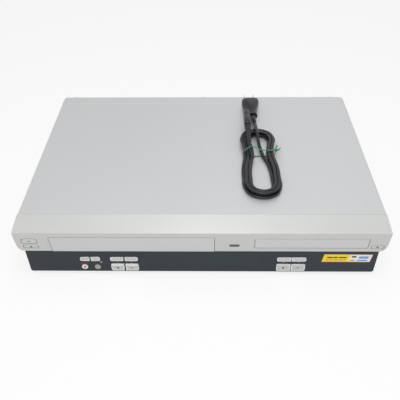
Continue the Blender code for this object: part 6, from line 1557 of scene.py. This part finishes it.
@dataclass
class FrontPanel:
    """The smoked panel with its display window, keys, lamp and sticker."""
    standout: float = 0.9
    small_rise: float = 24.8
    small_height: float = 6.2
    big_rise: float = 8.1
    big_height: float = 11.5
    round_radius: float = 3.75
    round_height: float = 14.2
    window: tuple[Span, Span] = ((-69.0, 70.0), (18.2, 39.6))
    lamp_place: Span = (-120.1, 22.3)
    sticker_edge: Sequence[Span] = (
        (142.8, 23.6), (200.5, 23.5), (202.3, 36.5), (145.1, 37.0))
    sticker_film: Sequence[Span] = (
        (143.4, 24.1), (200.0, 24.0), (201.6, 36.1), (145.3, 36.5))
    sticker_blocks: Sequence[tuple] = (
        (148.6, 155.0, 30.4, 32.4, 4), (156.0, 161.2, 30.4, 32.4, 4),
        (162.4, 171.6, 30.4, 32.4, 4), (147.4, 171.0, 26.4, 28.2, 3),
        (177.6, 183.0, 31.4, 34.0, 4), (176.2, 181.8, 25.2, 27.6, 3),
        (186.0, 197.4, 29.6, 33.4, 2), (184.6, 196.6, 25.2, 27.4, 2))
    record_x: float = -141.0
    timer_x: float = -125.3
    record_dot: float = 1.3
    record_bar: tuple[Span, Span] = ((-145.6, -136.4), (19.6, 20.3))
    channel: tuple = (-144.8, 11.1, 1.7)
    tape: tuple = (-108.8, 15.7, 1.7)
    disc: tuple = (90.2, 16.9, 0.8)
    marks: FaceMarks = field(default_factory=FaceMarks)

    def rows(self) -> list[tuple]:
        """List the rectangular keys.

        Returns:
            The name, span, heights, corner radii, top rim and sign of each.
        """
        small = (self.small_rise, self.small_rise + self.small_height)
        big = (self.big_rise, self.big_rise + self.big_height)
        rows = []
        for names, (left, width, split), zs, rim, signs in (
                (("channel_down", "channel_up"), self.channel, small, 0.7, (None, None)),
                (("vcr_rewind", "vcr_forward"), self.tape, small, 0.7, (None, None)),
                (("vcr_stop", "vcr_play"), self.tape, big, 3.0, (Mark.STOP, Mark.PLAY)),
                (("dvd_skip_back", "dvd_skip_forward"), self.disc, small, 0.7, (None, None)),
                (("dvd_stop", "dvd_play"), self.disc, big, 1.2, (Mark.STOP, Mark.PLAY))):
            second = left + width + split
            rows.append((names[0], (left, left + width), zs, (2.0, 0.4, 0.4, 2.0), rim, signs[0]))
            rows.append((names[1], (second, second + width), zs, (0.4, 2.0, 2.0, 0.4), rim,
                         signs[1]))
        return rows

    def key(self, name: str, xs: Span, zs: Span, radii: Sequence[float], rim: float,
            sign: Optional[Mark]) -> None:
        """One rectangular key with a raised rim about its dished face.

        Args:
            name: The key's name.
            xs: Its limits from left to right.
            zs: Its limits in height.
            radii: Its corner radii.
            rim: How wide the rim is along the top.
            sign: The sign on its face, if it has one.
        """
        front = PANEL_FACE - self.standout

        def outline(inset: float, top: float) -> list:
            """The key's outline drawn in all round, and more along its top."""
            return rounded((xs[0] + inset, xs[1] - inset), (zs[0] + inset, zs[1] - top),
                           [max(0.15, r - inset) for r in radii])

        def ring(inset: float, top: float, y: float) -> list:
            """That outline as points in metres at a depth."""
            return [Axis.Y.point(u, v, y) for u, v in outline(inset, top)]

        shape = Shape()
        shape.rings([ring(0.0, 0.0, PANEL_FACE + 2.4), ring(0.0, 0.0, front + 0.35),
                     ring(0.1, 0.1, front + 0.1), ring(0.35, 0.35, front),
                     ring(0.8, rim, front), ring(1.05, rim + 0.3, front + 0.22),
                     ring(1.3, rim + 0.5, front + 0.26)])
        low, high = zs[0] + 1.1, zs[1] - rim - 0.3
        shape.paint(1, lambda c, n: abs(n.y) > 0.9 and c.y < front + 0.3 and low < c.z < high
                    and xs[0] + 1.2 < c.x < xs[1] - 1.2 and c.y > front + 0.1)
        if sign:
            middle = ((xs[0] + xs[1]) / 2, (low + high) / 2 - 0.2)
            self.marks.add(shape, self.marks.outlines(sign, *middle, 1.15),
                           lambda z: front + 0.26, 2)
        piece = shape.done(name + "_key", [KEY_FINISH, KEY_FACE_FINISH, INK_FINISH], 30.0)
        fitted(piece, name + "_button")

    def round_key(self, name: str, x: float, finishes: Sequence[Finish], dot: float) -> None:
        """One round key: a domed rim about a dish, with a dot in it.

        Args:
            name: The key's name.
            x: Its middle from left to right.
            finishes: Its cap's and its dot's finish.
            dot: The dot's radius, or 0 for none.
        """
        r, z, front = self.round_radius, self.round_height, PANEL_FACE - self.standout
        shape = Shape()
        shape.lathe([(r, PANEL_FACE + 2.4), (r, front + 0.4), (r - 0.15, front + 0.12),
                     (r - 0.5, front), (r - 1.1, front + 0.02), (r - 1.5, front + 0.25),
                     (0.4, front + 0.35)], Axis.Y, (x, z), 40)
        if dot:
            shape.use(1).lathe([(dot, front + 0.4), (dot, front + 0.18),
                                (dot * 0.6, front + 0.12), (0.05, front + 0.1)], Axis.Y, (x, z),
                               28)
        fitted(shape.done(name + "_key", finishes, 35.0), name + "_button")

    def signs(self) -> None:
        """Plain signs printed on the panel below the small keys, and a red bar by record."""
        printed = Shape()
        height = self.small_rise - 2.3
        for (left, width, split), signs in ((self.tape, (Mark.BACK, Mark.AHEAD)),
                                            (self.disc, (Mark.LAST, Mark.NEXT))):
            for k, sign in enumerate(signs):
                middle = left + width / 2 + k * (width + split)
                self.marks.add(printed, self.marks.outlines(sign, middle, height, 0.9),
                               lambda z: PANEL_FACE, 0)
        bar = rounded(*self.record_bar, (0.3,) * 4, 2)
        self.marks.add(printed, [bar], lambda z: PANEL_FACE, 1)
        fitted(printed.done("panel_signs", [PRINT_FINISH, SIGN_RED]), "control_panel",
               replace=False)

    def sticker(self) -> None:
        """A slanted sticker of plain colour blocks."""
        shape = Shape()
        self.marks.add(shape, [self.sticker_edge], lambda z: PANEL_FACE, 1)
        self.marks.add(shape, [self.sticker_film], lambda z: PANEL_FACE - 0.03, 0)
        for x0, x1, z0, z1, finish in self.sticker_blocks:
            slanted = [(x0, z0), (x1, z0), (x1 + 0.4, z1), (x0 + 0.4, z1)]
            self.marks.add(shape, [slanted], lambda z: PANEL_FACE - 0.06, finish)
        finishes = [STICKER_FINISH, STICKER_EDGE, BLUE_FINISH, ORANGE_FINISH, INK_FINISH]
        fitted(shape.done("plain_sticker", finishes), "control_panel", replace=False)

    def build(self) -> None:
        """Dress the panel and all that is on it."""
        refined("control_panel", PANEL_FINISH, 0.25, 30.0)
        window = Shape().prism(rounded(*self.window, (0.8,) * 4), Axis.Y,
                               (PANEL_FACE - 0.12, PANEL_FACE + 0.3))
        piece = window.done("display_window", [WINDOW_FINISH])
        fitted(plain(softened(piece, 0.1)), "control_panel", replace=False)
        for row in self.rows():
            self.key(*row)
        self.round_key("record", self.record_x, [RECORD_FINISH, RED_FINISH], self.record_dot)
        self.round_key("timer", self.timer_x, [TIMER_FINISH], 0.0)
        lamp = Shape().lathe([(1.3, PANEL_FACE + 0.3), (1.3, PANEL_FACE - 0.2),
                              (1.0, PANEL_FACE - 0.42), (0.4, PANEL_FACE - 0.52)], Axis.Y,
                             self.lamp_place, 24)
        fitted(lamp.done("timer_lamp", [LAMP_FINISH]), "control_panel", replace=False)
        self.signs()
        self.sticker()


# The rear

@dataclass
class RearSockets:
    """Mains inlet, pin sockets with their coloured rings, and aerial sockets."""
    columns: int = 4
    first: float = -32.0
    spacing: float = 14.0
    middle: float = 42.0
    face: float = 142.4
    tip: float = 151.8
    ring_profile: Sequence[Span] = (
        (4.3, 0.0), (6.0, 0.0), (6.0, 1.2), (5.6, 1.7), (4.3, 1.8))
    sleeve_profile: Sequence[Span] = (
        (2.2, -4.0), (2.2, -0.1), (2.6, 0.05), (3.9, 0.05), (4.2, -0.3))
    sleeve_radii: Span = (4.2, 3.6)
    sleeve_foot: float = 1.0
    thread_profile: Sequence[Span] = ((4.5, 0.0), (4.95, 0.25), (4.95, 0.35), (4.5, 0.6))
    frame_spans: Sequence[tuple] = (
        ((-82.0, -24.6), (20.8, 63.2)), ((-102.0, -86.0), (33.0, 51.0)),
        ((-150.0, -128.0), (21.6, 62.4)))
    frame_line: float = 0.4
    threads: int = 9
    aerial_x: float = -139.0
    aerial_rise: float = 10.5
    thread_step: float = 0.85
    inlet_x: float = 185.0
    inlet_z: float = 32.0
    inlet_floor: float = 131.8
    pin_offset: float = 4.3
    pin_reach: float = 1.25
    pin_length: Span = (0.2, 10.2)

    def sleeves(self) -> None:
        """Gilt sleeves over the pin sockets and a coloured ring at the foot of each."""
        for row, (colour, finish) in enumerate((("red", RED_RING), ("white", WHITE_RING),
                                                ("yellow", YELLOW_RING))):
            z = self.middle + (row - 1) * self.spacing
            start = (self.first, 0.0, z)
            step = (-self.spacing, 0.0, 0.0)
            profile = [(radius, self.face + y) for radius, y in self.ring_profile]
            self.socket_row(f"socket_rings_{colour}", profile, finish, start, step)
            outer, inner = self.sleeve_radii
            profile = ([(radius, self.tip + y) for radius, y in self.sleeve_profile]
                       + [(outer, self.face + self.sleeve_foot),
                          (inner, self.face + self.sleeve_foot),
                          (inner, self.tip + self.sleeve_profile[0][1])])
            self.socket_row(f"socket_sleeves_{colour}", profile, GOLD_FINISH, start, step)

    def socket_row(self, name: str, profile: Sequence[Span], finish: Finish, start: Point,
                   step: Point) -> None:
        """Turn one ring and lay a row of them.

        Args:
            name: The row's name.
            profile: The ring's closed profile.
            finish: Its finish.
            start: Where the first stands, in millimetres.
            step: From one to the next.
        """
        ring = Shape().lathe(profile, Axis.Y, (0, 0), 32, around=True)
        piece = ring.done(name, [finish], 40.0)
        fitted(Row.of(piece, self.columns, step, finish, start), "jack_block", False)

    def aerials(self) -> None:
        """Threads on the two aerial sockets."""
        for name, z in (("upper", self.middle + self.aerial_rise),
                        ("lower", self.middle - self.aerial_rise)):
            thread = Shape().lathe(self.thread_profile, Axis.Y, (0, 0), 28, around=True)
            thread = thread.done(f"aerial_thread_{name}", [PIN_FINISH], 50.0)
            Row.of(thread, self.threads, (0.0, self.thread_step, 0.0), PIN_FINISH,
                   (self.aerial_x, self.face + 1.2, z))
            fitted(thread, "jack_block", False)

    def frames(self) -> None:
        """Thin printed frames round each group of sockets."""
        printed = Shape()
        line = self.frame_line
        for xs, zs in self.frame_spans:
            outer = rounded(xs, zs, (2.0,) * 4, 4)
            inner = rounded((xs[0] + line, xs[1] - line), (zs[0] + line, zs[1] - line),
                            (1.6,) * 4, 4)
            printed.rings([[Axis.Y.point(u, v, self.face + depth) for u, v in outline]
                          for outline, depth in ((outer, -0.1), (outer, 0.05), (inner, 0.05),
                                                 (inner, -0.1))], around=True)
        fitted(printed.done("socket_frames", [PRINT_FINISH]), "jack_block", replace=False)

    def on_pin(self, place: Vector) -> bool:
        """Whether a place is on one of the inlet's two pins.

        Args:
            place: The place, in millimetres.

        Returns:
            True on a pin.
        """
        depth = place.y - self.inlet_floor
        aside = min(math.hypot(place.x - self.inlet_x - offset, place.z - self.inlet_z)
                    for offset in (self.pin_offset, -self.pin_offset))
        return self.pin_length[0] < depth < self.pin_length[1] and aside < self.pin_reach

    def build(self) -> None:
        """Dress the rear sockets."""
        inlet = Shape().node("mains_inlet").paint(1, lambda c, n: self.on_pin(c))
        fitted(inlet.done("mains_inlet_dressed", [BLACK_FINISH, PIN_FINISH], 30.0, False),
               "mains_inlet")
        refined("jack_block", BLACK_FINISH, 0.0, 40.0)
        self.sleeves()
        self.aerials()
        self.frames()


# The insides

@dataclass
class DiscDrive:
    """Tray, loader, clamp, traverse, spindle and pickup."""
    table_top: float = 60.8
    plain_parts: Sequence[tuple] = (
        ("disc_tray", TRAY_FINISH, 0.2, 30.0), ("loader_frame", BLACK_FINISH, 0.0, 30.0),
        ("clamp_bridge", STEEL_FINISH, 0.0, 30.0), ("disc_clamper", WHITE_FINISH, 0.2, 40.0),
        ("traverse_frame", STEEL_FINISH), ("guide_rod_left", DRUM_FINISH, 0.0, 40.0),
        ("guide_rod_right", DRUM_FINISH, 0.0, 40.0), ("feed_screw", PIN_FINISH, 0.0, 50.0),
        ("tray_pinion", WHITE_FINISH, 0.0, 25.0), ("tray_motor", STEEL_FINISH, 0.2, 40.0))

    def turntable(self) -> None:
        """The turntable with a rubber ring for the disc and a centring cone."""
        top = self.table_top
        shape = Shape().node("spindle_turntable")
        shape.use(1).lathe([(9.6, top - 0.1), (14.4, top - 0.1), (14.6, top + 0.12),
                            (9.8, top + 0.12)], Axis.Z, (DISC_X, DISC_Y), 48, around=True)
        fitted(shape.done("turntable_dressed", [BLACK_FINISH, RUBBER_FINISH], 40.0, False),
               "spindle_turntable")

    def build(self) -> None:
        """Dress the disc side."""
        for row in self.plain_parts:
            refined(*row)
        sled = Shape().node("pickup_sled")
        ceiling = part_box("pickup_sled")[1][2] / MM
        sled.paint(1, lambda c, n: c.z > ceiling - 0.05)
        fitted(sled.done("pickup_sled_dressed", [BLACK_FINISH, WINDOW_FINISH], 35.0, False),
               "pickup_sled")
        self.turntable()


@dataclass
class TapeDeck:
    """Deck plate, drum, capstan, reels, guides and the cassette's carriage."""
    steel_parts: Sequence[str] = (
        "vcr_deck_plate", "carriage_frame", "carriage_slider", "cassette_holder", "pinch_arm",
        "tape_guide_left", "tape_guide_right")
    other_parts: Sequence[tuple] = (
        ("drum_base", DRUM_FINISH, 0.0, 40.0), ("head_drum", DRUM_FINISH, 0.2, 40.0),
        ("capstan", DRUM_FINISH, 0.2, 40.0), ("pinch_roller", RUBBER_FINISH, 0.3, 40.0),
        ("supply_reel_table", WHITE_FINISH, 0.2, 30.0),
        ("takeup_reel_table", WHITE_FINISH, 0.2, 30.0))

    def build(self) -> None:
        """Dress the cassette side."""
        for node in self.steel_parts:
            refined(node, STEEL_FINISH, 0.0, 32.0)
        for row in self.other_parts:
            refined(*row)


class Soldered(IntEnum):
    """The kinds of thing on a board, each with a finish of its own."""
    CAN = 1
    CHIP = 2
    COIL = 3
    PLATE = 4
    CAN_TOP = 5


@dataclass
class Boards:
    """The three circuit boards with what is soldered to them."""
    main_top: float = 15.4
    power_top: float = 13.4
    front_face: float = -139.8
    clearance: float = 0.15
    level_gap: float = 0.01
    plate_height: float = 21.0
    plate_width: float = 36.0
    low: float = 4.0
    round_faces: int = 9

    def casing(self, group: Sequence[bmesh.types.BMFace], up: int) -> Soldered:
        """Which casing a component has, from its size and whether it is round.

        Args:
            group: The component's faces.
            up: The axis that it stands along.

        Returns:
            What it is.
        """
        points = [v.co / MM for face in group for v in face.verts]
        size = [max(p[i] for p in points) - min(p[i] for p in points) for i in range(3)]
        if len(group) > self.round_faces:
            return Soldered.CAN
        if size[up] < self.low:
            return Soldered.CHIP
        thin, wide = sorted(size[i] for i in range(3) if i != up)
        if thin < self.low or size[up] > self.plate_height and wide > self.plate_width:
            return Soldered.PLATE
        return Soldered.COIL

    def board(self, node: str, finishes: Sequence[Finish], face: float, up: int,
              side: float) -> None:
        """Dress one board and each component on it.

        Args:
            node: The board's solid.
            finishes: The board's finish, then can, chip, coil, plate and can top.
            face: Where the board's face is along its axis, in millimetres.
            up: That axis.
            side: 1 where components stand towards its plus end, else -1.
        """
        shape = Shape().node(node)
        for group in shape.groups(lambda c: (c[up] - face) * side > self.clearance):
            kind = self.casing(group, up)
            top = max((v.co[up] * side) for f in group for v in f.verts)
            for part in group:
                capped = kind is Soldered.CAN and all(
                    abs(v.co[up] * side - top) < self.level_gap * MM for v in part.verts)
                part.material_index = Soldered.CAN_TOP if capped else kind
        fitted(levelled(shape.done(node + "_dressed", finishes, 32.0, False)), node)

    def build(self) -> None:
        """Dress the boards."""
        self.board("main_board", [MAIN_BOARD_FINISH, CAN_FINISH, CHIP_FINISH, COIL_FINISH,
                                  STEEL_FINISH, PIN_FINISH], self.main_top, 2, 1.0)
        self.board("power_board", [POWER_BOARD_FINISH, CAN_FINISH, CHIP_FINISH, COIL_FINISH,
                                   PIN_FINISH, PIN_FINISH], self.power_top, 2, 1.0)
        self.board("front_board", [FRONT_BOARD_FINISH, SWITCH_FINISH, SWITCH_FINISH,
                                   TUBE_FINISH, TUBE_FINISH, SWITCH_FINISH], self.front_face, 1,
                   -1.0)


def main() -> None:
    """Build the studio and then the player, one sub-assembly after another."""
    logging.basicConfig(level=logging.INFO, format="%(message)s")
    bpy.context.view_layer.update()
    for part in (Studio(), MainsLead(), Casing(), Doors(), FrontPanel(), RearSockets(),
                 DiscDrive(), TapeDeck(), Boards()):
        part.build()
        LOG.info("%s is built", type(part).__name__)


if __name__ == "__main__":
    main()
